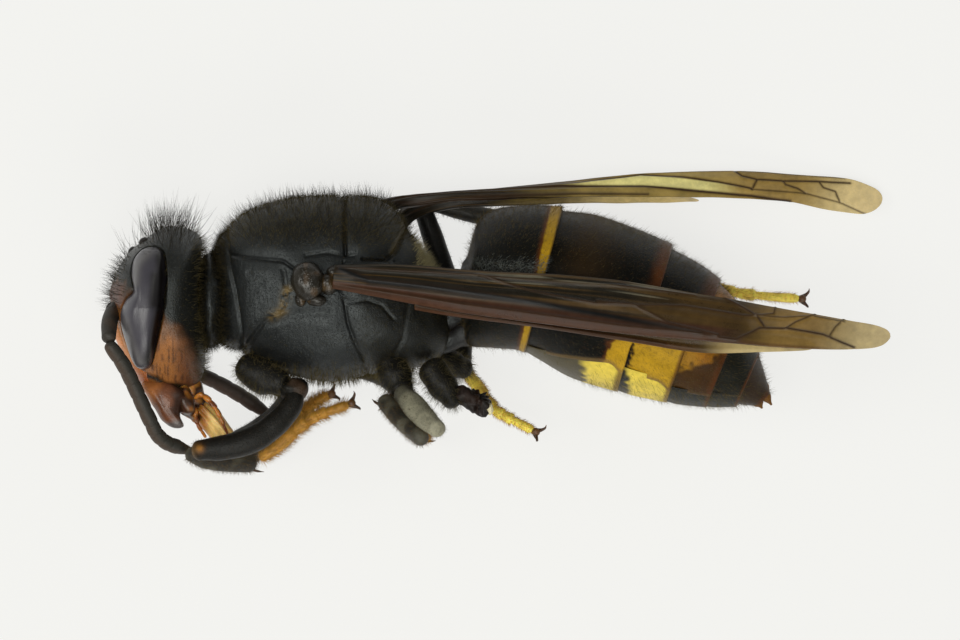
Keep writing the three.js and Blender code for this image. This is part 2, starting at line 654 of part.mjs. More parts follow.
const legs = {
  left_fore: {
    coxa: {
      points: [[-8.2, -1.6, 0.7], [-7.76, -1.88, 0.9], [-7.16, -2.08, 1.0]],
      radii: [0.5, 0.6, 0.42],
    },
    femur: {
      points: [[-6.7, -2.3, 1.15], [-6.72, -2.75, 1.35], [-7.16, -3.33, 1.5], [-7.82, -3.84, 1.6], [-8.65, -4.17, 1.65], [-9.8, -4.34, 1.6]],
      radii: [0.3, 0.38, femurRadius, 0.45, 0.42, 0.34],
    },
    tibia: {
      points: [[-10.05, -4.46, 1.0], [-9.64, -4.65, 0.6], [-8.88, -4.72, 0.1], [-8.2, -4.74, -0.3]],
      radii: [0.26, 0.28, 0.33, 0.33],
    },
    tarsus: {
      points: [[-7.75, -4.56, -0.55], [-7.33, -4.29, -0.5], [-6.67, -3.7, -0.4], [-6.01, -3.23, -0.3], [-4.95, -2.84, -0.2]],
    },
  },
  left_mid: {
    coxa: { points: [[-3.5, -1.5, 0.9], [-3.3, -2.0, 1.1], [-3.14, -2.3, 1.3]], radii: [0.5, 0.56, 0.4] },
    femur: {
      points: [[-3.07, -2.5, 1.7], [-2.67, -2.95, 2.7], [-2.24, -3.38, 3.9], [-1.98, -3.6, 4.55]],
      radii: [0.34, 0.42, 0.4, 0.36],
    },
    tibia: {
      points: [[-2.5, -3.9, 3.8], [-2.9, -3.55, 2.9], [-3.3, -3.15, 2.1], [-3.65, -2.75, 1.3]],
      radii: [0.27, 0.3, 0.32, 0.3],
    },
    tarsus: {
      points: [[-3.55, -2.85, 0.6], [-3.2, -3.2, 0.0], [-2.75, -3.65, -1.0], [-2.45, -3.82, -2.0], [-2.38, -3.86, -2.95]],
    },
  },
  left_hind: {
    coxa: {
      points: [[-2.1, -1.7, 0.9], [-1.75, -2.25, 1.1], [-1.47, -2.68, 1.2]],
      radii: [0.5, 0.5, 0.34],
    },
    stump: { points: [[-1.2, -2.5, 1.2], [-0.89, -2.64, 1.2], [-0.5, -2.8, 1.2]], radii: [0.3, 0.38, 0.3] },
  },
  right_fore: {
    coxa: {
      points: [[-8.1, -1.6, -0.7], [-7.6, -1.9, -0.85], [-7.1, -2.2, -1.0]],
      radii: [0.5, 0.55, 0.4],
    },
    femur: {
      points: [[-6.9, -2.62, -1.15], [-7.23, -3.2, -1.6], [-7.85, -3.7, -2.1], [-8.5, -4.05, -2.55], [-9.0, -4.25, -2.8]],
      radii: [0.32, 0.4, 0.42, 0.4, 0.34],
    },
    tibia: {
      points: [[-9.3, -4.6, -2.85], [-8.8, -4.72, -2.87], [-8.15, -4.5, -2.87], [-7.6, -4.15, -2.87]],
      radii: [0.26, 0.28, 0.31, 0.31],
    },
    tarsus: {
      points: [[-7.26, -3.85, -2.88], [-6.77, -3.4, -2.8], [-6.3, -2.97, -2.6], [-5.91, -2.67, -2.4], [-5.61, -2.54, -2.3]],
    },
  },
  right_mid: {
    coxa: { points: [[-3.4, -1.5, -0.8], [-3.25, -1.95, -1.0]], radii: [0.5, 0.45] },
    femur: {
      points: [[-3.3, -2.1, -1.55], [-4.0, -1.75, -2.35], [-5.0, -1.5, -2.75]],
      radii: [0.32, 0.38, 0.32],
    },
    tibia: {
      points: [[-5.35, -1.0, -2.87], [-4.4, -0.95, -2.87], [-2.9, -1.1, -2.87], [-1.6, -1.25, -2.8]],
      radii: [0.26, 0.29, 0.3, 0.28],
    },
    tarsus: {
      points: [[-1.25, -1.5, -2.6], [-0.63, -2.24, -2.2], [-0.05, -3.0, -1.8], [0.45, -3.3, -1.6], [1.15, -3.66, -1.4]],
    },
  },
  right_hind: {
    coxa: {
      points: [[-1.85, -1.3, -0.6], [-1.4, -1.55, -0.9], [-1.1, -1.62, -1.1]],
      radii: [0.45, 0.45, 0.36],
    },
    femur: {
      points: [[-1.15, -1.3, -1.75], [-1.19, -0.43, -2.1], [-1.49, 0.63, -2.5], [-1.85, 1.88, -2.75], [-2.4, 3.5, -2.84]],
      radii: [0.32, 0.38, 0.38, 0.36, 0.32],
    },
    tibia: {
      points: [[-2.1, 3.82, -2.88], [-0.89, 3.5, -2.88], [0.76, 3.17, -2.88], [3.1, 2.68, -2.88]],
      radii: [0.27, 0.3, 0.32, 0.32],
    },
    tarsus: {
      points: [[3.6, 2.48, -2.92], [5.38, 1.82, -2.92], [7.59, 0.95, -2.92], [8.84, 0.76, -2.92], [9.95, 0.68, -2.92]],
    },
  },
};
const legLooks = { coxa: black, femur: black, tibia: darkBrown, tarsus: legYellow, stump: black };

function foot(points, grow) {
  const last = new THREE.Vector3(...points[points.length - 1]);
  const before = new THREE.Vector3(...points[points.length - 2]);
  const ahead = last.clone().sub(before).normalize();
  const sideways = ahead.clone().cross(new THREE.Vector3(0.2, 0.3, 1)).normalize();
  const base = last.clone().addScaledVector(ahead, 0.05);
  return [1, -1].map((side) => {
    const tip = base.clone().addScaledVector(ahead, clawLength);
    tip.addScaledVector(sideways, side * clawLength * 0.75);
    return spike(base.toArray(), tip.toArray(), 0.15, grow);
  });
}

function legPiece(name, { points, radii }, grow = 0) {
  if (name !== 'tarsus') {
    return limb({ points, radii, steps: points.length > 3 ? 6 : 3, grow });
  }
  const thick = [tarsusRadius, tarsusRadius, tarsusRadius, tarsusRadius, 0.27];
  return joined([limb({ points, radii: thick, around: 6, steps: 6, grow }), ...foot(points, grow)]);
}

for (const [leg, lengths] of Object.entries(legs)) {
  for (const [name, line] of Object.entries(lengths)) {
    addPiece(`leg_${leg}_${name}`, (grow) => legPiece(name, line, grow), legLooks[name].clone());
  }
}

// The origin is the middle of the underside of the box around the insect

const box = new THREE.Box3().setFromObject(insect);
const middle = box.getCenter(new THREE.Vector3());
insect.position.set(-middle.x, -middle.y, midHeight);

export default insect;
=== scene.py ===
import bpy
import numpy as np
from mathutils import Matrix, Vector


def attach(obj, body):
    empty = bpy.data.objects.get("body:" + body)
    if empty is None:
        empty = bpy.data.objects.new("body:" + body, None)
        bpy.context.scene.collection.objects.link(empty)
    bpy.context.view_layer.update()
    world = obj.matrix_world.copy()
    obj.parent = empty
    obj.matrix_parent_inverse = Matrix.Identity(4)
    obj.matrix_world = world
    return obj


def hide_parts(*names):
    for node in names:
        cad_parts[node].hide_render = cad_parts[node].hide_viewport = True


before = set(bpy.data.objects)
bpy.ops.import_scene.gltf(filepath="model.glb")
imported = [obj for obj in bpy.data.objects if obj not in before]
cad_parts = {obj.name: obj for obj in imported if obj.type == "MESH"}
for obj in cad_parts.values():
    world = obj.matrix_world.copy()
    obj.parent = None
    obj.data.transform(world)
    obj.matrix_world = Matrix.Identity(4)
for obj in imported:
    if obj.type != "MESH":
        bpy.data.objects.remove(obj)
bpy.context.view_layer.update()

# Shapes are drawn in millimetres on the insect's own axes: x from head to tail, y from belly
# to back, z from its right side to its left, with z = 0 in its middle plane.
insectInFrame = np.array([0.0399, 0.0251, 3.15])
floorZ = -3.15
mm = 0.001
bothSides = ((1, "left"), (-1, "right"))
domeRows, domeHeight = 6, 0.75  # the round ends of limbs: rings, and height as a share of the radius


# sums and lines

def colour(red, green, blue):
    share = np.array([red, green, blue], float) / 255
    return np.where(share <= 0.04045, share / 12.92, ((share + 0.055) / 1.055) ** 2.4)


def unit(v):
    return v / np.maximum(np.linalg.norm(v, axis=-1, keepdims=True), 1e-12)


def ease(low, high, value):
    t = np.clip((value - low) / (high - low), 0.0, 1.0)
    return t * t * (3 - 2 * t)


def bell(value, middle, width):
    return np.exp(-(((value - middle) / width) ** 2))


def blend(first, second, share):
    share = np.asarray(share, float)[..., None]
    return np.asarray(first) * (1 - share) + np.asarray(second) * share


def curveAt(points, t, closed=False):
    p = np.array([list(q) + [0.0] * (3 - len(q)) for q in points], float)
    n = len(p)
    t = np.asarray(t, float)
    if closed:
        place = np.mod(t, 1.0) * n
        i = np.floor(place).astype(int) % n
        w = place - np.floor(place)
        p0, p1, p2, p3 = p[(i - 1) % n], p[i], p[(i + 1) % n], p[(i + 2) % n]
    else:
        place = np.clip(t, 0, 1) * (n - 1)
        i = np.minimum(np.floor(place).astype(int), n - 2)
        w = place - i
        longer = np.vstack([2 * p[0] - p[1], p, 2 * p[-1] - p[-2]])
        p0, p1, p2, p3 = longer[i], longer[i + 1], longer[i + 2], longer[i + 3]
    d0, d1, d2 = [np.maximum(np.linalg.norm(b - a, axis=-1) ** 0.5, 1e-4)[..., None]
                  for a, b in ((p0, p1), (p1, p2), (p2, p3))]
    m1 = ((p1 - p0) / d0 - (p2 - p0) / (d0 + d1) + (p2 - p1) / d1) * d1
    m2 = ((p2 - p1) / d1 - (p3 - p1) / (d1 + d2) + (p3 - p2) / d2) * d1
    w = w[..., None]
    return ((2 * w**3 - 3 * w**2 + 1) * p1 + (w**3 - 2 * w**2 + w) * m1
            + (-2 * w**3 + 3 * w**2) * p2 + (w**3 - w**2) * m2)


def evenCurve(points, t):
    fine = curveAt(points, np.linspace(0, 1, 400))
    steps = np.r_[0, np.cumsum(np.linalg.norm(np.diff(fine, axis=0), axis=1))]
    at = np.clip(t, 0, 1) * steps[-1]
    return np.stack([np.interp(at, steps, fine[:, k]) for k in range(3)], -1)


def spread(values, t):
    v = np.asarray(values, float)
    place = np.clip(t, 0, 1) * (len(v) - 1)
    i = np.minimum(np.floor(place).astype(int), len(v) - 2)
    return v[i] + (v[i + 1] - v[i]) * ease(0, 1, place - i)


def scatterAt(ix, iy, iz, seed):
    h = (ix * 374761393 + iy * 668265263 + iz * 1440662683 + seed * 974711) & 0xFFFFFFFF
    h = ((h ^ (h >> 13)) * 1274126177) & 0xFFFFFFFF
    return ((h ^ (h >> 16)) & 0xFFFF) / 65535.0


def mottle(points, size, seed=0):
    q = np.asarray(points, float) / size + 1000.0
    base = np.floor(q).astype(np.int64)
    f = q - base
    f = f * f * (3 - 2 * f)
    total = 0.0
    for corner in range(8):
        d = np.array([corner & 1, corner >> 1 & 1, corner >> 2 & 1])
        weight = np.prod(np.where(d, f, 1 - f), axis=-1)
        total = total + weight * scatterAt(*[base[..., k] + d[k] for k in range(3)], seed)
    return total


def lineDistance(points, path):
    best = np.full(points.shape[:-1], 1e9)
    x, y = points[..., 0], points[..., 1]
    for (ax, ay), (bx, by) in zip(path[:-1], path[1:]):
        dx, dy = bx - ax, by - ay
        t = np.clip(((x - ax) * dx + (y - ay) * dy) / (dx * dx + dy * dy + 1e-12), 0, 1)
        best = np.minimum(best, np.hypot(x - ax - t * dx, y - ay - t * dy))
    return best


# grids of points: rows down, columns around

def gridNormals(grid, wrap=True):
    across = np.roll(grid, -1, 1) - np.roll(grid, 1, 1) if wrap else np.gradient(grid, axis=1)
    normal = unit(np.cross(across, np.gradient(grid, axis=0)))
    middle = grid.mean(1, keepdims=True) if wrap else grid.mean((0, 1))
    outward = ((grid - middle) * normal).sum(-1).mean()
    return normal if outward >= 0 else -normal


def raised(grid, rise):
    return grid + gridNormals(grid) * rise[..., None]


def roughened(grid, depth, size, seed):
    return raised(grid, depth * (mottle(grid, size, seed) - 0.5))


def aboveFloor(points, gap=0.01):
    return np.maximum(points, [-99, -99, floorZ + gap])


def marked(tint, look, *marks):
    # markings laid on in turn: each a colour's name and the share in which it shows
    for name, share in marks:
        tint = blend(tint, look[name], share)
    return tint


def gridFaces(rows, columns, wrap):
    r, c = np.meshgrid(np.arange(rows - 1), np.arange(columns if wrap else columns - 1), indexing="ij")
    n = (c + 1) % columns
    quads = np.stack([r * columns + c, r * columns + n, (r + 1) * columns + n, (r + 1) * columns + c], -1)
    return quads.reshape(-1, 4)


def closedForm(grid, tint):
    rows, columns, _ = grid.shape
    points = np.vstack([grid.reshape(-1, 3), grid[0].mean(0)[None], grid[-1].mean(0)[None]])
    c = np.arange(columns)
    n = (c + 1) % columns
    top, end = rows * columns, rows * columns + 1
    tris = np.vstack([np.stack([np.full(columns, top), n, c], -1),
                      np.stack([np.full(columns, end), (rows - 1) * columns + c, (rows - 1) * columns + n],
                               -1)])
    tint = np.broadcast_to(tint, grid.shape)
    tints = np.vstack([tint.reshape(-1, 3), tint[0].mean(0)[None], tint[-1].mean(0)[None]])
    return faceOut(points, gridFaces(rows, columns, True), tris, tints)


def faceOut(points, quads, tris, tints):
    p = points - points.mean(0)
    t = np.vstack([quads[:, [0, 1, 2]], quads[:, [0, 2, 3]], tris])
    if np.einsum("ij,ij->i", p[t[:, 0]], np.cross(p[t[:, 1]], p[t[:, 2]])).sum() < 0:
        quads, tris = quads[:, ::-1], tris[:, ::-1]
    return points, quads, tris, tints


def platesForm(outer, inner, tint):
    # a curved plate with its edges closed between an outer and an inner grid
    rows, columns, _ = outer.shape
    points = np.vstack([outer.reshape(-1, 3), inner.reshape(-1, 3)])
    face = gridFaces(rows, columns, False)
    under = face[:, ::-1] + rows * columns
    rim = np.r_[np.arange(columns), np.arange(1, rows) * columns + columns - 1,
                (rows - 1) * columns + np.arange(columns - 2, -1, -1), np.arange(rows - 2, 0, -1) * columns]
    after = np.roll(rim, -1)
    wall = np.stack([after, rim, rim + rows * columns, after + rows * columns], -1)
    tints = np.vstack([np.broadcast_to(tint, outer.shape).reshape(-1, 3)] * 2)
    return faceOut(points, np.vstack([face, under, wall]), np.zeros((0, 3), int), tints)


def gathered(forms):
    points, quads, tris, tints, base = [], [], [], [], 0
    for p, q, t, c in forms:
        points.append(p)
        quads.append(q + base)
        tris.append(t + base)
        tints.append(np.broadcast_to(c, (len(p), 3)))
        base += len(p)
    return np.vstack(points), np.vstack(quads), np.vstack(tris), np.vstack(tints)


def addPiece(name, form, material, nodes=(), uv=None, cover=None):
    points, quads, tris, tints = form
    points = aboveFloor(points, 0.008)
    mesh = bpy.data.meshes.new(name)
    mesh.vertices.add(len(points))
    mesh.vertices.foreach_set("co", ((points + insectInFrame) * mm).astype(np.float32).ravel())
    corners = np.r_[quads.ravel(), tris.ravel()].astype(np.int32)
    sizes = np.r_[np.full(len(quads), 4), np.full(len(tris), 3)]
    mesh.loops.add(len(corners))
    mesh.loops.foreach_set("vertex_index", corners)
    mesh.polygons.add(len(sizes))
    mesh.polygons.foreach_set("loop_start", np.r_[0, np.cumsum(sizes)[:-1]].astype(np.int32))
    mesh.polygons.foreach_set("use_smooth", np.ones(len(sizes), bool))
    mesh.update(calc_edges=True)
    layer = mesh.color_attributes.new("Tint", "FLOAT_COLOR", "POINT")
    alpha = np.ones((len(points), 1)) if cover is None else np.asarray(cover, float).reshape(-1, 1)
    layer.data.foreach_set("color", np.hstack([tints, alpha]).astype(np.float32).ravel())
    if uv is not None:
        mesh.uv_layers.new(name="OFBake").data.foreach_set("uv", uv[corners].astype(np.float32).ravel())
    mesh.validate()
    mesh.materials.append(material)
    piece = bpy.data.objects.new(name, mesh)
    bpy.context.scene.collection.objects.link(piece)
    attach(piece, "root")
    if nodes:
        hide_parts(*nodes)
    return piece


# forms: the same outlines as the solids, set out finely

def roundedBody(shape, columns, rows, side=1):
    edge = curveAt(shape["outline"], np.arange(columns) / columns, closed=True)[:, :2]
    tilt = np.r_[0.01, (np.arange(rows) + 0.5) / rows * np.pi, np.pi - 0.01]
    reach = np.sin(tilt) ** (2 / shape["square"])
    middle = np.array(shape["centre"])
    soft = edge - middle  # the outline, evened out towards the middle
    for _ in range(shape.get("even", 0)):
        soft = (np.roll(soft, 1, 0) + 2 * soft + np.roll(soft, -1, 0)) / 4
    share = (reach**2)[:, None, None]
    flat = middle + ((edge - middle)[None] * share + soft[None] * (1 - share)) * reach[:, None, None]
    half = shape["halfWidth"](flat[..., 0], flat[..., 1])
    return np.dstack([flat, side * shape.get("out", 0.0) + half * np.cos(tilt)[:, None]])


def limbGrid(points, radii, rows=60, columns=26, flat=1.0, profile=None):
    t = np.linspace(0, 1, rows)
    centre = evenCurve(points, t)
    ahead = unit(np.gradient(centre, axis=0))
    side = np.zeros_like(ahead)
    side[0] = unit(np.cross(ahead[0], np.eye(3)[np.argmin(np.abs(ahead[0]))]))
    for k in range(1, rows):
        side[k] = unit(side[k - 1] - ahead[k] * np.dot(side[k - 1], ahead[k]))
    other = np.cross(ahead, side)
    radius = spread(radii, t) * (1 if profile is None else profile(t))
    bow = np.sin((np.arange(domeRows) + 0.4) / domeRows * np.pi / 2)
    lift = np.sqrt(1 - bow**2)
    first = centre[0] - ahead[0] * (radius[0] * domeHeight * lift)[:, None]
    last = centre[-1] + ahead[-1] * (radius[-1] * domeHeight * lift[::-1])[:, None]
    centre = np.vstack([first, centre, last])
    radius = np.r_[bow * radius[0], radius, bow[::-1] * radius[-1]]
    side, other = [np.vstack([np.repeat(v[:1], domeRows, 0), v, np.repeat(v[-1:], domeRows, 0)])
                   for v in (side, other)]
    angle = np.arange(columns) / columns * 2 * np.pi
    grid = (centre[:, None] + side[:, None] * (np.cos(angle)[None, :, None] * radius[:, None, None])
            + other[:, None] * (np.sin(angle)[None, :, None] * radius[:, None, None] * flat))
    return aboveFloor(grid)


def ballGrid(centre, radii, rows=16, columns=24):
    tilt = (np.arange(rows) + 0.3) / (rows - 0.4) * np.pi
    angle = np.arange(columns) / columns * 2 * np.pi
    ball = np.dstack([np.outer(np.sin(tilt), np.cos(angle)), np.outer(np.sin(tilt), np.sin(angle)),
                      np.outer(np.cos(tilt), np.ones(columns))])
    return np.array(centre) + ball * np.array(radii)


# materials

def nodeOf(material, kind, values=(), **settings):
    node = material.node_tree.nodes.new("ShaderNode" + kind)
    for key, value in settings.items():
        setattr(node, key, value)
    for socket, value in dict(values).items():
        node.inputs[socket].default_value = value
    return node


def cuticle(name, look):
    # colour from the piece's own markings, broken up by grain, with pits and fine streaks in relief
    material = bpy.data.materials.new(name)
    material.use_nodes = True
    material.node_tree.nodes.clear()
    link = material.node_tree.links.new
    out = nodeOf(material, "OutputMaterial")
    shader = nodeOf(material, "BsdfPrincipled", look.get("sockets", {}))
    link(shader.outputs[0], out.inputs[0])
    where = nodeOf(material, "TexCoord").outputs["Object"]
    inMillimetres = nodeOf(material, "Mapping", {"Scale": (1000, 1000, 1000)})
    link(where, inMillimetres.inputs["Vector"])
    tint = nodeOf(material, "VertexColor", layer_name="Tint")

    grain = nodeOf(material, "TexNoise", {"Scale": look["grain"], "Detail": 8, "Roughness": 0.65})
    link(inMillimetres.outputs[0], grain.inputs["Vector"])

    def fromGrain(low, high):
        levels = {"From Min": 0.3, "From Max": 0.7, "To Min": low, "To Max": high}
        field = nodeOf(material, "MapRange", levels)
        link(grain.outputs["Fac"], field.inputs["Value"])
        return field.outputs[0]

    mix = nodeOf(material, "VectorMath", operation="SCALE")
    link(tint.outputs["Color"], mix.inputs[0])
    link(fromGrain(1 - look["mottle"], 1 + look["mottle"]), mix.inputs["Scale"])
    link(mix.outputs[0], shader.inputs["Base Color"])
    link(fromGrain(*look["roughness"]), shader.inputs["Roughness"])

    normal = None
    for size, depth, kind in look.get("relief", ()):
        if kind == "pits":
            texture = nodeOf(material, "TexVoronoi", {"Scale": size}, feature="F1")
            field = nodeOf(material, "MapRange", {"From Max": 0.45})
            link(texture.outputs["Distance"], field.inputs["Value"])
            height = field.outputs[0]
        else:
            texture = nodeOf(material, "TexNoise", {"Scale": size, "Detail": 4})
            height = texture.outputs["Fac"]
        if kind == "streaks":
            drawnOut = nodeOf(material, "Mapping", {"Scale": (1000, 150, 1000)})
            link(where, drawnOut.inputs["Vector"])
            link(drawnOut.outputs[0], texture.inputs["Vector"])
        else:
            link(inMillimetres.outputs[0], texture.inputs["Vector"])
        bump = nodeOf(material, "Bump", {"Strength": 1.0, "Distance": depth * mm})
        link(height, bump.inputs["Height"])
        if normal is not None:
            link(normal, bump.inputs["Normal"])
        normal = bump.outputs[0]
    if normal is not None:
        link(normal, shader.inputs["Normal"])
    if look.get("clear"):
        link(tint.outputs["Alpha"], shader.inputs["Alpha"])
    return material


blackCuticle = cuticle("pitted_black_cuticle", dict(
    grain=1.6, mottle=0.25, roughness=(0.34, 0.48),
    relief=((20, 0.01, "pits"), (9, 0.008, "noise"), (7, 0.014, "streaks")),
    sockets={"Specular IOR Level": 0.42, "Specular Tint": (0.9, 0.98, 1.0, 1)}))
bandedCuticle = cuticle("banded_gaster_cuticle", dict(
    grain=2.4, mottle=0.22, roughness=(0.34, 0.45), relief=((16, 0.008, "pits"), (10, 0.006, "noise")),
    sockets={"Specular IOR Level": 0.11}))
eyeFacets = cuticle("eye_facets", dict(
    grain=0.8, mottle=0.12, roughness=(0.3, 0.38), relief=((42, 0.0015, "pits"),),
    sockets={"Coat Weight": 0.2, "Coat Roughness": 0.3}))
faceCuticle = cuticle("face_cuticle", dict(
    grain=2.0, mottle=0.25, roughness=(0.3, 0.42), relief=((12, 0.012, "pits"), (7, 0.012, "streaks")),
    sockets={"Subsurface Weight": 0.08, "Subsurface Scale": 0.0003}))
hornCuticle = cuticle("glossy_horn", dict(
    grain=1.8, mottle=0.35, roughness=(0.3, 0.42), relief=((9, 0.008, "streaks"), (12, 0.006, "pits")),
    sockets={"Coat Weight": 0.12, "Coat Roughness": 0.2}))
amberMouth = cuticle("amber_mouthparts", dict(
    grain=2.5, mottle=0.35, roughness=(0.25, 0.4), relief=((10, 0.008, "noise"),),
    sockets={"Subsurface Weight": 0.25, "Subsurface Scale": 0.0004}))
feelerSkin = cuticle("dull_feeler", dict(
    grain=5, mottle=0.25, roughness=(0.5, 0.68), relief=((30, 0.006, "pits"), (14, 0.006, "noise"))))
shieldSkin = cuticle("wing_root_shield", dict(
    grain=2.6, mottle=0.4, roughness=(0.22, 0.4), relief=((13, 0.012, "pits"),)))
membrane = cuticle("wing_membrane", dict(
    grain=3.2, mottle=0.2, roughness=(0.32, 0.48), relief=((22, 0.006, "noise"),), clear=True,
    sockets={"Specular IOR Level": 0.22}))
legCuticle = cuticle("satin_leg", dict(
    grain=3.0, mottle=0.3, roughness=(0.4, 0.54), relief=((17, 0.012, "pits"), (9, 0.012, "noise")),
    sockets={"Specular IOR Level": 0.26}))
dustySkin = cuticle("dusty_shin", dict(
    grain=2.2, mottle=0.35, roughness=(0.5, 0.66), relief=((15, 0.012, "pits"), (6, 0.014, "noise"))))
footSkin = cuticle("foot_cuticle", dict(
    grain=4.0, mottle=0.3, roughness=(0.38, 0.55), relief=((16, 0.01, "pits"),),
    sockets={"Subsurface Weight": 0.15, "Subsurface Scale": 0.0003}))
hairStrand = cuticle("hair_strand", dict(
    grain=3.0, mottle=0.25, roughness=(0.45, 0.6), sockets={"Specular IOR Level": 0.15}))


# hair: tapered three-sided strands, rooted on a grid

def rootsOn(grid, count, seed, wanted=None, wrap=True):
    random = np.random.default_rng(seed)
    normals = gridNormals(grid, wrap)
    columns = grid.shape[1]
    nextColumn = np.arange(columns) + 1
    nextColumn = nextColumn % columns if wrap else np.minimum(nextColumn, columns - 1)
    across = grid[:-1][:, nextColumn] - grid[:-1]
    weight = np.linalg.norm(np.cross(across, grid[1:] - grid[:-1]), axis=-1)
    if wanted is not None:
        weight = weight * wanted(grid[:-1])
    weight = weight.ravel() / weight.sum()
    cell = random.choice(len(weight), size=count, p=weight)
    r, c = np.divmod(cell, columns)
    u, v = random.random(count)[:, None], random.random(count)[:, None]
    n = nextColumn[c]
    roots = ((grid[r, c] * (1 - u) + grid[r, n] * u) * (1 - v)
             + (grid[r + 1, c] * (1 - u) + grid[r + 1, n] * u) * v)
    facing = unit(normals[r, c] * (1 - v) + normals[r + 1, n] * v)
    uv = np.hstack([(c[:, None] + u) / columns, (r[:, None] + v) / (len(grid) - 1)])
    return roots, facing, uv


def strands(rooted, length, lean, radius, tint, seed, scatter=0.25, joints=2):
    roots, facing, uv = rooted
    random = np.random.default_rng(seed)
    count = len(roots)
    bend, sunk, slim = 0.25, 0.02, 0.55  # of the length, in mm below the skin, and of the root's radius
    size = length * (0.65 + 0.6 * random.random(count))[:, None]
    flow = np.broadcast_to(lean, roots.shape)
    way = unit(facing + flow + random.normal(0, scatter, (count, 3)))
    way = unit(np.where((way * facing).sum(-1, keepdims=True) < 0.12, way + facing * 0.6, way))
    curl = unit(flow - facing * (flow * facing).sum(-1, keepdims=True) + random.normal(0, 0.3, (count, 3)))
    side = unit(np.cross(way, random.normal(0, 1, (count, 3))))
    other = np.cross(way, side)
    rings = []
    for level in np.linspace(0, 1, joints + 1)[:-1]:
        middle = roots - facing * sunk + way * size * level + curl * size * bend * level**2
        for turn in np.arange(3) * 2 * np.pi / 3:
            rings.append(middle + (side * np.cos(turn) + other * np.sin(turn)) * radius * (1 - slim * level))
    points = aboveFloor(np.stack(rings + [roots + way * size + curl * size * bend], 1))
    each = points.shape[1]
    quads = [[3 * j + k, 3 * j + (k + 1) % 3, 3 * j + 3 + (k + 1) % 3, 3 * j + 3 + k]
             for j in range(joints - 1) for k in range(3)]
    top = 3 * (joints - 1)
    tris = [[top + k, top + (k + 1) % 3, each - 1] for k in range(3)]
    start = np.arange(count)[:, None, None] * each
    quads = (np.array(quads, int).reshape(1, -1, 4) + start).reshape(-1, 4)
    tris = (np.array(tris, int)[None] + start).reshape(-1, 3)
    tint = np.asarray(tint(roots, random) if callable(tint) else tint)
    shades = np.broadcast_to(tint, (count, 3)) * (0.7 + 0.6 * random.random((count, 1)))
    tints = np.repeat(shades, each, 0)
    corner = np.arange(each) * 2.1  # around a patch of the skin's unwrap, 0.0024 across
    patch = np.stack([0.0012 * np.cos(corner), 0.0012 * np.sin(corner)], -1)
    uvs = (uv[:, None] + patch[None]).reshape(-1, 2)
    return points.reshape(-1, 3), quads, tris, tints, uvs


def addCoat(name, tufts):
    form = gathered([tuft[:4] for tuft in tufts])
    return addPiece(name, form, hairStrand, uv=np.vstack([tuft[4] for tuft in tufts]))


# head

headShape = dict(
    outline=[[-10.3, 3.0], [-10.9, 3.06], [-11.5, 2.72], [-12.1, 2.25], [-12.55, 1.6], [-12.68, 0.9],
             [-12.66, 0.3], [-12.5, -0.5], [-12.2, -1.3], [-11.75, -2.05], [-11.3, -2.38], [-10.4, -2.4],
             [-9.9, -2.2], [-9.66, -1.6], [-9.68, -0.4], [-9.7, 1.2], [-9.7, 2.2], [-9.85, 2.75]],
    centre=[-11.0, 0.35], square=3.4, socketDepth=0.62,
    ocelli=([-11.98, 2.2, 0], [-11.62, 2.5, 0.42], [-11.62, 2.5, -0.42]),
    halfWidth=lambda x, y: 2.6 * (1 - 0.42 * ease(0.4, 2.6, -y)) * (1 - 0.12 * ease(1.6, 3.2, y))
    * (1 - 0.12 * ease(-10.6, -9.6, x)))
headLook = dict(
    black=colour(20, 20, 17), gena=colour(146, 92, 42), red=colour(84, 44, 24), strip=colour(176, 112, 46),
    darkRed=colour(84, 44, 24) * 0.5, seam=colour(14, 12, 10), brow=colour(84, 48, 30),
    ocellus=colour(30, 22, 20), seamLine=[(-11.9, -1.75), (-11.2, -1.98), (-10.9, -2.2), (-10.3, -2.25)])


def headTint(points):
    x, y = points[..., 0], points[..., 1]
    grain = mottle(points, 0.25, 3)
    streak = mottle(points * [9.0, 1.0, 1.0], 0.4, 5)
    slope = 0.42 * (y + 1.5)
    side = (ease(0.4, -0.95, y + 0.7 * (grain - 0.5) + 0.7 * (x + 11))
            * ease(-9.7, -10.5, x + 0.25 * (y + 1.2)))
    return marked(headLook["black"], headLook,
                  ("gena", side),
                  ("red", side * ease(-10.85, -10.25, x) * 0.75),
                  ("seam", side * ease(-10.35, -9.9, x) * 0.6),
                  ("darkRed", side * ease(0.5, 0.8, streak) * 0.7),
                  ("brow", ease(1.35, 1.05, y) * ease(0.2, 0.6, y) * ease(-12.2, -12.45, x)),
                  ("strip", ease(0.25, -0.1, y) * ease(-11.85 - slope, -12.0 - slope, x)),
                  ("darkRed", ease(-2.0, -2.25, y)),
                  ("seam", bell(lineDistance(points, headLook["seamLine"]), 0, 0.09)))


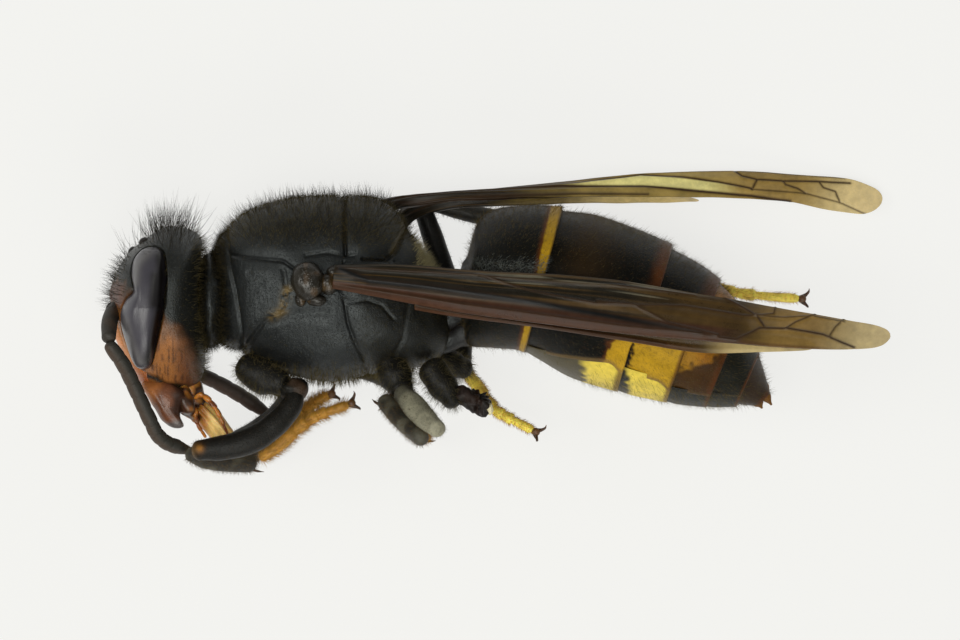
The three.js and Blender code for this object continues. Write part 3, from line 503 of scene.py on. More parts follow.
def buildHead():
    grid = roundedBody(headShape, 300, 150)
    x, y, z = grid[..., 0], grid[..., 1], grid[..., 2]
    rise = 0.05 * (mottle(grid, 0.9, 11) - 0.5)
    rise = rise - 0.07 * bell(lineDistance(grid, headLook["seamLine"]), 0, 0.07)
    # the sockets: pressed in below the eyes
    middle = np.array(eyeShape["centre"])
    edge = curveAt(eyeShape["outline"], np.arange(400) / 400, closed=True)[:, :2] - middle
    bearing = np.arctan2(edge[:, 1], edge[:, 0])
    order = np.argsort(bearing)
    reach = np.hypot(edge[:, 0], edge[:, 1])[order]
    away = np.hypot(x - middle[0], y - middle[1])
    rim = np.interp(np.arctan2(y - middle[1], x - middle[0]), bearing[order], reach, period=2 * np.pi)
    rise = rise - headShape["socketDepth"] * ease(0.05, -0.06, away - rim) * ease(0.9, 1.4, np.abs(z))
    # the swelling between the feelers, the line down the brow and the hollow for the neck
    front = ease(-12.1, -12.5, x) * ease(0.9, 0.2, np.abs(z))
    rise = (rise + 0.1 * bell(y, 0.85, 0.35) * front
            - 0.08 * bell(np.abs(z), 0, 0.05) * ease(0.6, 2.4, y) * (x < -11))
    rise = rise - 0.5 * ease(1.5, 0.7, np.hypot(y - 1.0, z)) * ease(-9.95, -9.72, x)
    grid = raised(grid, rise)
    forms = [closedForm(grid, headTint(grid))]
    for centre in headShape["ocelli"]:
        forms.append(closedForm(ballGrid(centre, [0.2, 0.2, 0.2]), headLook["ocellus"]))
    addPiece("head_skin", gathered(forms), blackCuticle, ["head_capsule"])
    return grid


eyeShape = dict(
    outline=[[-11.55, 2.34], [-11.02, 2.27], [-10.86, 1.5], [-10.96, 0.3], [-11.18, -0.8], [-11.48, -1.6],
             [-11.85, -1.6], [-12.22, -0.8], [-12.4, 0.1], [-12.22, 0.66], [-11.99, 0.95], [-12.05, 1.5],
             [-11.9, 2.05]],
    centre=[-11.6, 0.35], out=1.7, square=3, even=260,
    halfWidth=lambda x, y: 1.15 - 0.1 * np.abs(y - 0.35))
# pale is a painted highlight, laid along the rims of each eye
eyeLook = dict(
    grey=colour(60, 58, 66), pale=colour(104, 102, 100), dark=colour(12, 9, 9),
    blotch=[(-11.25, 1.4), (-11.3, 0.5)],
    backEdge=[(-11.1, 2.1), (-11.05, 1.4), (-11.12, 0.3), (-11.3, -0.7), (-11.5, -1.4)],
    highlightRims=([(-11.9, 1.2), (-11.85, 1.8), (-11.5, 2.15)], [(-12.25, -0.1), (-12.0, -0.9), (-11.75, -1.4)]))


def buildEyes():
    for side, name in bothSides:
        grid = roundedBody(eyeShape, 160, 80, side)
        # painted highlights: pale bands along the top and lower front rims of the eye
        rim = np.minimum(*[lineDistance(grid, line) for line in eyeLook["highlightRims"]])
        tint = marked(eyeLook["grey"], eyeLook,
                      ("dark", bell(lineDistance(grid, eyeLook["backEdge"]), 0, 0.16)),
                      ("dark", 0.9 * bell(lineDistance(grid, eyeLook["blotch"]), 0, 0.17)),
                      ("pale", 0.5 * bell(rim, 0, 0.16)))
        addPiece(f"eye_{name}_lens", closedForm(grid, tint), eyeFacets, [f"eye_{name}"])


clypeusShape = dict(
    outline=[[-12.7, 0.0], [-12.68, -0.35], [-12.45, -0.95], [-12.1, -1.6], [-11.75, -2.14], [-11.4, -2.42],
             [-11.15, -2.3], [-11.4, -1.7], [-11.8, -0.9], [-12.1, -0.1], [-12.4, 0.05]],
    centre=[-11.9, -1.1], square=2.8, halfWidth=lambda x, y: 1.18 - 0.12 * np.abs(y + 1.1))
clypeusLook = dict(orange=colour(198, 120, 46), brown=colour(150, 76, 34), rim=colour(70, 34, 22))


def buildFace():
    grid = roughened(roundedBody(clypeusShape, 140, 70), 0.05, 0.3, 7)
    y = grid[..., 1]
    tint = marked(clypeusLook["orange"], clypeusLook,
                  ("brown", ease(-1.2, -2.2, y)), ("rim", bell(y, -2.35, 0.12)))
    addPiece("clypeus_skin", closedForm(grid, tint), faceCuticle, ["clypeus"])


mandibleShape = dict(
    outline=[[-11.72, -2.1], [-11.5, -2.61], [-11.3, -2.95], [-11.0, -3.4], [-10.62, -3.6], [-10.36, -3.55],
             [-10.45, -3.2], [-10.42, -2.86], [-10.3, -2.45], [-10.9, -2.05]],
    centre=[-10.95, -2.8], out=0.72, square=2.6, even=90,
    halfWidth=lambda x, y: 0.42 - 0.05 * ease(-2.9, -3.6, y))
mandibleLook = dict(brown=colour(110, 66, 42), orange=colour(168, 104, 54), edge=colour(50, 30, 20),
                    # tip is a painted highlight on the mandible's point
                    tip=colour(96, 88, 86), groove=colour(70, 40, 24))


def buildMandibles():
    for side, name in bothSides:
        grid = roundedBody(mandibleShape, 120, 60, side)
        x, y = grid[..., 0], grid[..., 1]
        groove = lineDistance(grid, [(-11.2, -2.35), (-10.95, -2.9), (-10.6, -3.35)])
        grid = raised(grid, -0.012 * bell(groove, 0, 0.06) + 0.03 * (mottle(grid, 0.25, 13) - 0.5))
        tint = marked(mandibleLook["brown"], mandibleLook,
                      ("orange", ease(-11.1, -11.45, x - 0.55 * (y + 2.6))),
                      ("edge", ease(-10.75, -10.45, x + 0.2 * mottle(grid, 0.3, 15)) * ease(-3.4, -3.1, y)),
                      # the pale grey tip is a painted highlight
                      ("tip", ease(-3.3, -3.52, y - 0.3 * (x + 10.8))),
                      ("groove", 0.25 * bell(groove, 0, 0.08)))
        addPiece(f"mandible_{name}_skin", closedForm(grid, tint), hornCuticle,
                 [f"mandible_{name}"])


def jointed(count, waistDepth=0.25, sharp=3.0):
    # a ringed profile: each length swells towards its end
    def profile(t):
        share = np.mod(t * count * 0.9999, 1.0)
        return 1 - waistDepth * (1 - share) ** sharp - waistDepth * 0.8 * share**14
    return profile


mouthLook = dict(amber=colour(172, 112, 44), brown=colour(58, 34, 20), pale=colour(222, 186, 110),
                 palp=colour(176, 112, 40), palpShade=colour(112, 62, 26))


def buildMouth():
    look = mouthLook
    root = limbGrid([[-10.2, -2.3], [-9.95, -2.8], [-9.7, -3.1]], [0.5, 0.42, 0.3], 40, 36)
    root = roughened(root, 0.1, 0.25, 17)
    rootTint = blend(look["brown"], look["amber"], ease(0.5, 0.75, mottle(root, 0.3, 19)))
    tongue = limbGrid([[-9.75, -3.0], [-9.45, -3.33], [-9.04, -3.85]], [0.3, 0.36, 0.34], 50, 48, flat=1.5)
    ridges = 0.04 * np.sin(np.arange(48) / 48 * 2 * np.pi * 9)[None, :]
    tongue = raised(tongue, ridges)
    tongueTint = blend(look["amber"], look["pale"], ease(-9.7, -9.35, tongue[..., 0]))
    forms = [closedForm(root, rootTint), closedForm(tongue, tongueTint)]
    for side in (1, -1):
        line = [[-10.35, -2.35, side * 0.3], [-10.26, -2.85, side * 0.55], [-9.95, -3.26, side * 0.4]]
        maxilla = roughened(limbGrid(line, [0.36, 0.42, 0.16], 40, flat=0.7), 0.12, 0.2, 20)
        patches = 0.7 * ease(0.55, 0.85, mottle(maxilla, 0.2, 21))
        forms.append(closedForm(maxilla, blend(look["brown"], look["amber"], patches)))
    addPiece("tongue_and_maxillae", gathered(forms), amberMouth, ["labium"])
    for side, name in bothSides:
        outer = [[-9.95, -2.6, side * 0.62], [-9.75, -2.5, side * 0.72], [-9.34, -2.87, side * 0.95],
                 [-9.1, -3.3, side * 1.0], [-8.88, -3.8, side * 0.9]]
        inner = [[-9.95, -2.95, side * 0.6], [-9.9, -3.4, side * 0.7], [-9.62, -3.9, side * 0.62]]
        palps = [limbGrid(outer, [0.09, 0.1, 0.085, 0.075, 0.045], 90, 18, profile=jointed(6, 0.4)),
                 limbGrid(inner, [0.09, 0.075, 0.045], 70, 18, profile=jointed(4, 0.4))]
        forms = [closedForm(palp, blend(look["palp"], look["palpShade"],
                                        ease(0.4, 0.7, mottle(palp, 0.2, 23))))
                 for palp in palps]
        addPiece(f"palps_{name}_skin", gathered(forms), amberMouth, [f"palps_{name}"])


# feelers: scape and a ringed flagellum

feelers = {
    "left": dict(
        scape=[[-12.55, 0.42, 0.8], [-12.75, -0.05, 1.6], [-12.78, -0.6, 2.2]],
        flagellum_1=[[-12.72, -0.9, 2.3], [-12.31, -1.49, 2.0], [-11.96, -2.2, 1.6], [-11.68, -2.81, 1.5],
                     [-11.55, -3.1, 1.45]],
        flagellum_2=[[-11.39, -3.43, 1.35], [-11.22, -3.78, 1.15], [-10.89, -4.08, 0.85],
                     [-10.53, -4.22, 0.6], [-10.2, -4.33, 0.4]],
        back=colour(36, 35, 29), edge=colour(70, 50, 34), scapeTint=colour(38, 33, 26)),
    "right": dict(
        scape=[[-12.6, 0.42, -0.8], [-12.68, 0.25, -1.55], [-12.6, 0.05, -2.3]],
        flagellum_1=[[-12.44, -0.23, -2.75], [-11.95, -0.83, -2.93], [-10.96, -1.39, -2.94],
                     [-10.13, -1.72, -2.94]],
        flagellum_2=[[-9.8, -1.85, -2.94], [-9.31, -2.08, -2.94], [-8.48, -2.54, -2.94],
                     [-7.56, -3.17, -2.94]],
        back=colour(48, 36, 27), edge=colour(76, 50, 34), scapeTint=colour(38, 33, 26)),
}


def buildFeelers():
    for side, look in feelers.items():
        grid = limbGrid(look["scape"], [0.2, 0.27, 0.27, 0.24], 50, 28)
        tint = blend(look["scapeTint"], look["edge"], 0.4 * ease(0.5, 0.8, mottle(grid, 0.3, 25)))
        addPiece(f"antenna_{side}_scape_skin", closedForm(grid, tint), feelerSkin,
                 [f"antenna_{side}_scape"])
        whole = look["flagellum_1"] + [look["flagellum_2"][0]]
        halves = ("flagellum_1", whole, 6, 0.25), ("flagellum_2", look["flagellum_2"], 5, 0.16)
        for part, points, rings, tip in halves:
            grid = limbGrid(points, [0.24, 0.25, 0.25, 0.25, tip], 20 * rings, 28,
                            profile=jointed(rings, 0.1, 5.0))
            offset = grid - grid.mean(1, keepdims=True)
            outer = ease(0.1, -0.25, offset[..., 0] + offset[..., 1])
            tint = blend(look["back"], look["edge"], outer * 0.55)
            addPiece(f"antenna_{side}_{part}_skin", closedForm(grid, tint), feelerSkin,
                     [f"antenna_{side}_{part}"])


# thorax: one skin over all the plates, with the seams pressed into it

thoraxShape = dict(
    outline=[[-9.38, 0.9], [-9.36, 2.0], [-9.02, 2.85], [-8.3, 3.48], [-7.2, 3.88], [-5.8, 4.05],
             [-4.4, 4.02], [-3.55, 3.78], [-3.05, 3.2], [-2.65, 2.5], [-2.15, 1.6], [-1.75, 0.8],
             [-1.55, 0.0], [-1.56, -0.8], [-1.95, -1.36], [-3.1, -1.68], [-4.4, -1.88], [-5.4, -2.08],
             [-6.8, -1.82], [-8.3, -1.2], [-9.1, -0.75], [-9.35, -0.1]],
    centre=[-5.4, 1.0], square=2.7,
    halfWidth=lambda x, y: 2.52 * (1 - 0.12 * ease(6.8, 9.6, -x)) * (1 - 0.26 * ease(-4.6, -1.6, x)))
# each seam: its line in the side view, depth and width
thoraxSeams = [
    ([(-8.98, 4.2), (-8.9, 2.15), (-8.3, 2.02), (-7.06, 1.92), (-6.6, 1.6)], 0.07, 0.05),
    ([(-7.03, 1.6), (-6.95, 1.0), (-7.0, 0.43), (-7.7, -0.12), (-8.4, -1.12), (-8.5, -2.2)], 0.08, 0.07),
    ([(-8.9, 2.05), (-8.62, 0.8), (-8.45, -0.3), (-8.42, -1.1)], 0.08, 0.04),
    ([(-6.3, 2.1), (-5.6, 2.2), (-5.05, 2.1), (-4.7, 2.1)], 0.06, 0.06),
    ([(-5.02, 4.4), (-5.02, 3.0), (-4.98, 2.15)], 0.16, 0.045),
    ([(-3.05, 4.0), (-2.92, 3.0), (-3.3, 2.2), (-3.6, 1.95), (-4.4, 1.98)], 0.12, 0.05),
    ([(-2.55, 3.3), (-2.25, 2.3), (-2.2, 1.75)], 0.08, 0.05),
    ([(-5.05, 1.9), (-5.02, 0.6), (-4.92, -0.1), (-4.7, -0.75), (-4.35, -1.4), (-4.2, -2.2)], 0.07, 0.045),
    ([(-4.9, 0.55), (-4.3, 0.62), (-3.8, 0.45), (-3.4, 0.0)], 0.05, 0.06),
    ([(-3.3, 1.9), (-2.9, 0.5), (-3.1, -0.7), (-3.6, -1.6)], 0.06, 0.07),
    ([(-7.5, -0.2), (-6.6, 0.16), (-5.6, 0.22)], 0.05, 0.14),
]
# collar and neck are painted shade: the collar's front face and the neck are coloured darker than the rest of
# the thorax
thoraxLook = dict(
    black=colour(17, 18, 18), brown=colour(21, 19, 13), crumb=colour(96, 78, 42), collar=colour(9, 9, 8),
    ridge=colour(86, 74, 44), neck=colour(7, 7, 6), waist=colour(22, 18, 17),
    crumbLine=[(-7.38, 0.1), (-7.05, 0.28), (-6.9, 0.95)],
    ridgeLine=[(-3.2, 3.75), (-3.08, 3.0), (-3.45, 2.2)])


def thoraxTint(points):
    x, y = points[..., 0], points[..., 1]
    crumb = (bell(lineDistance(points, thoraxLook["crumbLine"]), 0, 0.15)
             * ease(0.2, 0.5, mottle(points, 0.12, 31)))
    return marked(thoraxLook["black"], thoraxLook,
                  ("brown", ease(2.0, 3.2, y) * 0.8),
                  # painted shade on the collar's front face
                  ("collar", ease(-8.55, -8.95, x)),
                  ("brown", ease(-4.9, -4.2, x) * ease(1.6, 0.6, y) * 0.6),
                  ("ridge", 0.55 * bell(lineDistance(points, thoraxLook["ridgeLine"]), 0, 0.1)),
                  ("crumb", crumb * (points[..., 2] > 0)))


def buildThorax():
    grid = roundedBody(thoraxShape, 380, 190)
    rise = 0.05 * (mottle(grid, 1.1, 41) - 0.5) + 0.02 * (mottle(grid, 0.3, 43) - 0.5)
    for path, depth, width in thoraxSeams:
        away = lineDistance(grid, path)
        rise = rise - depth * bell(away, 0, width) - 0.5 * depth * bell(away, 0, width * 5)
    rise = rise + 0.05 * bell(lineDistance(grid, thoraxLook["ridgeLine"]), 0, 0.09)
    crumb = bell(lineDistance(grid, thoraxLook["crumbLine"]), 0, 0.12) * (grid[..., 2] > 0)
    rise = rise + 0.12 * crumb * mottle(grid, 0.09, 33)
    grid = raised(grid, rise)
    neck = roughened(ballGrid([-9.45, 0.62, 0], [0.55, 1.55, 1.45], 40, 60), 0.12, 0.4, 45)
    # the neck is coloured darker than the thorax's black: painted shade between head and thorax
    forms = [closedForm(grid, thoraxTint(grid)), closedForm(neck, thoraxLook["neck"])]
    addPiece("thorax_skin", gathered(forms), blackCuticle,
             ["pronotum", "mesoscutum", "scutellum", "mesopleuron", "propodeum"])
    waist = limbGrid([[-1.95, -0.2], [-1.4, 0.15], [-0.75, 0.5]], [0.5, 0.42, 0.5], 30, 40)
    lower = limbGrid([[-1.9, -0.75], [-1.4, -0.6], [-0.85, -0.4]], [0.42, 0.4, 0.42], 30, 40)
    forms = [closedForm(roughened(part, 0.1, 0.3, 47), thoraxLook["waist"]) for part in (waist, lower)]
    addPiece("petiole_skin", gathered(forms), blackCuticle, ["petiole"])
    return grid, neck


# gaster

gasterRings = dict(
    top=[[-1.0, 2.1], [-0.5, 3.38], [0.65, 3.74], [2.15, 3.68], [3.75, 3.28], [5.77, 2.44], [7.36, 1.28],
         [8.17, 0.15], [8.65, -1.15], [9.0, -2.45]],
    bottom=[[-1.12, -0.2], [-0.95, -0.86], [-0.17, -0.95], [0.9, -1.08], [2.45, -1.92], [4.3, -2.46],
            [5.85, -2.76], [6.97, -2.86], [7.88, -2.84], [8.62, -2.86]],
    half=[1.3, 2.25, 2.95, 3.15, 3.25, 3.2, 2.72, 2.1, 1.36, 0.36],
    tergiteEnds=[0, 3, 5, 6, 7, 8, 9],
    pleura=[[-3, -1.3], [0.95, -1.0], [1.63, -1.2], [3.07, -1.45], [4.1, -1.57], [4.45, -1.9], [5.3, -2.1],
            [5.65, -2.17], [5.95, -2.46], [6.9, -2.54], [8.2, -2.56], [12, -2.6]],
    spikes=([[8.7, -2.3, 0], [8.9, -2.6, 0], [9.05, -2.82, 0]],
            [[8.5, -2.62, 0], [8.66, -2.8, 0], [8.74, -2.93, 0]]),
    plateThickness=0.09)
gasterLook = dict(
    black=colour(8, 8, 5), slate=colour(24, 25, 20), brown=colour(44, 31, 14), yellow=colour(174, 136, 28),
    bandYellow=colour(174, 136, 28) * 0.85, gold=colour(146, 96, 20), rust=colour(78, 42, 14),
    dark=colour(52, 32, 14), pale=colour(216, 192, 74), front=colour(11, 12, 10), dusk=colour(72, 66, 48),
    edgeHighlight=colour(112, 90, 52), spike=colour(104, 70, 32), core=colour(24, 18, 14))


def gasterPoint(ring, angle, size=1.0):
    ring, angle, size = np.broadcast_arrays(ring, angle, size)
    share = ring / (len(gasterRings["half"]) - 1)
    top = curveAt(gasterRings["top"], share)
    bottom = curveAt(gasterRings["bottom"], share)
    half = curveAt([[i, h] for i, h in enumerate(gasterRings["half"])], share)[..., 1]
    height = np.linalg.norm(top - bottom, axis=-1) / 2
    point = (top + bottom) / 2 + unit(top - bottom) * (height * size * np.cos(angle))[..., None]
    point[..., 2] = half * size * np.sin(angle)
    return point


def pleuraAngle(rings):
    # how far round each ring the upper plates reach, evened out along the body
    angles = np.linspace(0.3, np.pi, 1200)
    points = gasterPoint(rings[:, None], angles[None])
    line = np.array(gasterRings["pleura"])
    above = points[..., 1] > np.interp(points[..., 0], line[:, 0], line[:, 1])
    found = angles[np.where(above.all(1), len(angles) - 1, np.argmin(above, axis=1))]
    return np.convolve(np.pad(found, 3, mode="edge"), np.ones(7) / 7, "valid")


def sweptPlate(ring, angle, size):
    # the rims sweep forwards on the lower side
    ring, size = ring[:, None], size[:, None]
    points = gasterPoint(ring, angle, size)
    sweep = 0.2 * ease(0.4, -1.2, points[..., 1]) * ease(3.6, 5.0, ring) * ease(7.6, 6.2, ring)
    return gasterPoint(ring - sweep, angle, size)


def gasterTint(points, ring, number):
    x, y = points[..., 0], points[..., 1]
    rough = mottle(points, 0.16, 51 + number) - 0.5
    fine = mottle(points, 0.07, 61 + number) - 0.5
    fromEnd = (gasterRings["tergiteEnds"][number] - ring) * 1.55  # about millimetres before the rear rim
    rim = lambda low, high, share: ease(low, high, fromEnd + share * rough)
    if number == 1:
        width = 0.25 + 0.1 * ease(0.5, 3.0, y)
        marks = [("rust", rim(width + 0.22, width + 0.02, 0.06)),
                 ("bandYellow", ease(width + 0.04, width - 0.03, fromEnd + 0.05 * fine)),
                 ("dark", 0.7 * rim(0.06, 0.0, 0))]
    if number == 2:
        front = 3.5 + 0.5 * (y + 1.45) - x + 0.3 * rough + 0.15 * fine
        marks = [("brown", 0.75 * bell(ring, 3.75, 0.42) * ease(-0.5, 1.5, y)),
                 ("rust", rim(0.42, 0.1, 0.1)),
                 ("rust", ease(0.3, 0.05, front) * ease(0.2, -0.4, y)),
                 ("yellow", ease(0.06, -0.08, front) * ease(-0.05, -0.4, y + 0.3 * rough))]
    if number == 3:
        low = ease(0.15, -0.05, y + 0.35 - 0.1 * (x - 5) + 0.5 * rough + 0.3 * fine)
        front = ease(0.0, 0.14, x - 4.28 - 0.1 * (y + 1.9) + 0.2 * rough + 0.2 * fine)
        marks = [("rust", rim(0.55, 0.12, 0.12) * 0.9),
                 ("gold", low * front * 0.9),
                 ("yellow", ease(-0.1, -0.5, y + 0.35 + 0.4 * rough) * front),
                 ("rust", 0.8 * rim(0.14, 0.02, 0))]
    if number == 4:
        patch = ease(0.15, -0.2, y + 1.75 - 0.42 * (x - 5.8) + 0.5 * rough)
        marks = [("gold", ease(1.6, 0.6, y + 0.6 * rough) * 0.95),
                 ("yellow", 0.35 * ease(0.0, -0.6, y + 0.3 * rough) * ease(6.9, 6.3, x)),
                 ("dark", patch * 0.95),
                 ("rust", 0.85 * rim(0.3, 0.05, 0.05))]
    if number == 5:
        marks = [("rust", 0.9 * rim(0.16, 0.04, 0.04))]
    if number == 6:
        marks = [("dark", 0.6), ("rust", 0.85 * rim(0.3, 0.05, 0.08))]
    spots = ease(0.7, 0.9, mottle(points, 0.07, 71)) * (0.3 if number in (2, 3, 4) else 0.12)
    base = gasterLook["front" if number == 1 else "slate" if number > 4 else "black"]
    return marked(base, gasterLook, *marks, ("dark", spots))


def sterniteTint(points, ring, number):
    x = points[..., 0]
    rough = mottle(points, 0.18, 81 + number) - 0.5
    tint = gasterLook["dusk" if number == 2 else "slate"]
    if number == 2:
        tint = blend(tint, gasterLook["pale"], ease(2.7, 3.05, x + 0.35 * rough))
    if number == 3:
        tint = blend(tint, gasterLook["pale"], ease(4.15, 4.45, x + 0.3 * rough))
    end = gasterRings["tergiteEnds"][number]
    return blend(tint, gasterLook["rust"],
                 0.8 * ease(0.2, 0.05, (end - np.broadcast_to(ring, x.shape)) * 1.5))


def buildTergite(number, start, end, tuck, ring):
    whole = number in (1, 6)  # the first and last plates close round below
    opening = 0.035 if number == 1 else 0.045
    size = 1 - opening * ease(start + 0.8, start, ring) - 0.03 * ease(start, start - max(tuck, 0.01), ring)
    size = size + 0.012 * bell(ring, end - 0.03, 0.12)
    size[-1] -= 0.014
    if whole:
        angle = np.broadcast_to(np.linspace(-np.pi, np.pi, 301)[:-1], (len(ring), 300))
    else:
        across = np.linspace(-1, 1, 260)
        angle = across[None] * (pleuraAngle(ring) - 0.01)[:, None]
    grid = sweptPlate(ring, angle, size)
    normal = gridNormals(grid, wrap=whole)
    if not whole and (normal[..., 1] * grid[..., 1]).mean() < 0:
        normal = -normal
    rise = 0.03 * (mottle(grid, 0.8, 91) - 0.5)
    if number == 1:  # the groove down its front
        rise = rise - 0.05 * bell(np.abs(grid[..., 2]), 0, 0.1) * ease(0.4, -0.6, grid[..., 0])
    grid = grid + normal * rise[..., None]
    tint = gasterTint(grid, ring[:, None], number)
    if not whole:
        # a pale line painted along each plate's lower edge: a painted edge highlight
        edgeHighlight = ease(0.965, 0.985, np.abs(across))[None]
        tint = blend(tint, gasterLook["edgeHighlight"], (0.6 if number < 4 else 0.2) * edgeHighlight)
        form = platesForm(grid, grid - normal * gasterRings["plateThickness"], tint)
    elif number == 1:
        nose = [gasterPoint(np.zeros((1, 1)), angle[:1], share) - [ahead, 0, 0]
                for share, ahead in ((0.45, 0.22), (0.8, 0.12))]
        grid = np.vstack(nose + [grid])
        form = closedForm(grid, np.vstack([tint[:1], tint[:1], tint]))
    else:
        spikes = [closedForm(limbGrid(line, [0.3, 0.18, 0.04], 20, 20), gasterLook["spike"])
                  for line in gasterRings["spikes"]]
        form = gathered([closedForm(grid, tint)] + spikes)
    addPiece(f"tergite_{number}_plate", form, bandedCuticle, [f"tergite_{number}"])
    return grid, whole


def buildSternite(number, start, tuck, ring):
    limit = (pleuraAngle(ring) - 0.1)[:, None]
    angle = limit + (2 * np.pi - 2 * limit) * np.linspace(0, 1, 120)[None]
    grid = sweptPlate(ring, angle, 0.982 - 0.03 * ease(start + 0.3, start - tuck, ring))
    facing = unit(grid - grid.mean(1, keepdims=True) + [0, 0.5, 0])
    form = platesForm(grid, grid - facing * 0.08, sterniteTint(grid, ring[:, None], number))
    addPiece(f"sternite_{number}_plate", form, bandedCuticle,
             [f"sternite_{number}"] if number < 5 else [])
    return grid


def buildGaster():
    tergites, sternites = [], []
    ends = gasterRings["tergiteEnds"]
    for number in range(1, 7):
        start, end = ends[number - 1], ends[number]
        tuck = 0 if number == 1 else 0.22  # how far a plate slips under the one before it
        rows = int((end - start + tuck) * 42)
        ring = np.r_[np.linspace(start - tuck, end - 0.02, rows), end, end + 0.012]
        tergites.append(buildTergite(number, start, end, tuck, ring))
        if 1 < number < 6:
            sternites.append(buildSternite(number, start, tuck, ring))
    around = np.linspace(-np.pi, np.pi, 61)[:-1][None]
    core = gasterPoint(np.linspace(0.4, 8.9, 60)[:, None], around, 0.93)
    addPiece("gaster_core", closedForm(core, gasterLook["core"]), bandedCuticle)
    return tergites, sternites


# wing roots

tegulaShape = dict(
    outline=[[-6.8, 1.2], [-6.6, 1.75], [-6.1, 1.85], [-5.72, 1.45], [-5.78, 0.85], [-6.3, 0.6]],
    centre=[-6.25, 1.25], out=2.7, square=2.6, halfWidth=lambda x, y: 0.56 + 0 * x,
    knobs=(([-5.55, 1.15, 2.75], [0.3, 0.34, 0.3]), ([-5.95, 0.62, 2.7], [0.32, 0.2, 0.26]),
           ([-5.35, 1.55, 2.7], [0.26, 0.2, 0.3]), ([-6.45, 0.65, 2.6], [0.2, 0.26, 0.22])))
tegulaLook = dict(black=colour(30, 26, 18), brown=colour(74, 54, 30), knob=colour(28, 24, 17),
                  knobBrown=colour(78, 58, 30))


def buildTegulae():
    for side, name in bothSides:
        grid = roundedBody(tegulaShape, 120, 60, side)
        rise = 0.08 * (mottle(grid, 0.5, 101) - 0.5) + 0.03 * (mottle(grid, 0.15, 103) - 0.5)
        grid = aboveFloor(raised(grid, rise))
        patches = 0.6 * ease(0.66, 0.88, mottle(grid, 0.3, 105))
        forms = [closedForm(grid, blend(tegulaLook["black"], tegulaLook["brown"], patches))]
        for (x, y, out), radii in tegulaShape["knobs"]:
            knob = roughened(ballGrid([x, y, side * out], radii), 0.06, 0.2, 107)
            patches = 0.6 * ease(0.6, 0.85, mottle(knob, 0.2, 109))
            forms.append(closedForm(knob, blend(tegulaLook["knob"], tegulaLook["knobBrown"], patches)))
        addPiece(f"tegula_{name}_shield", gathered(forms), shieldSkin, [f"tegula_{name}"])


# wings: two thin layers, pleated lengthwise, with the veins standing out

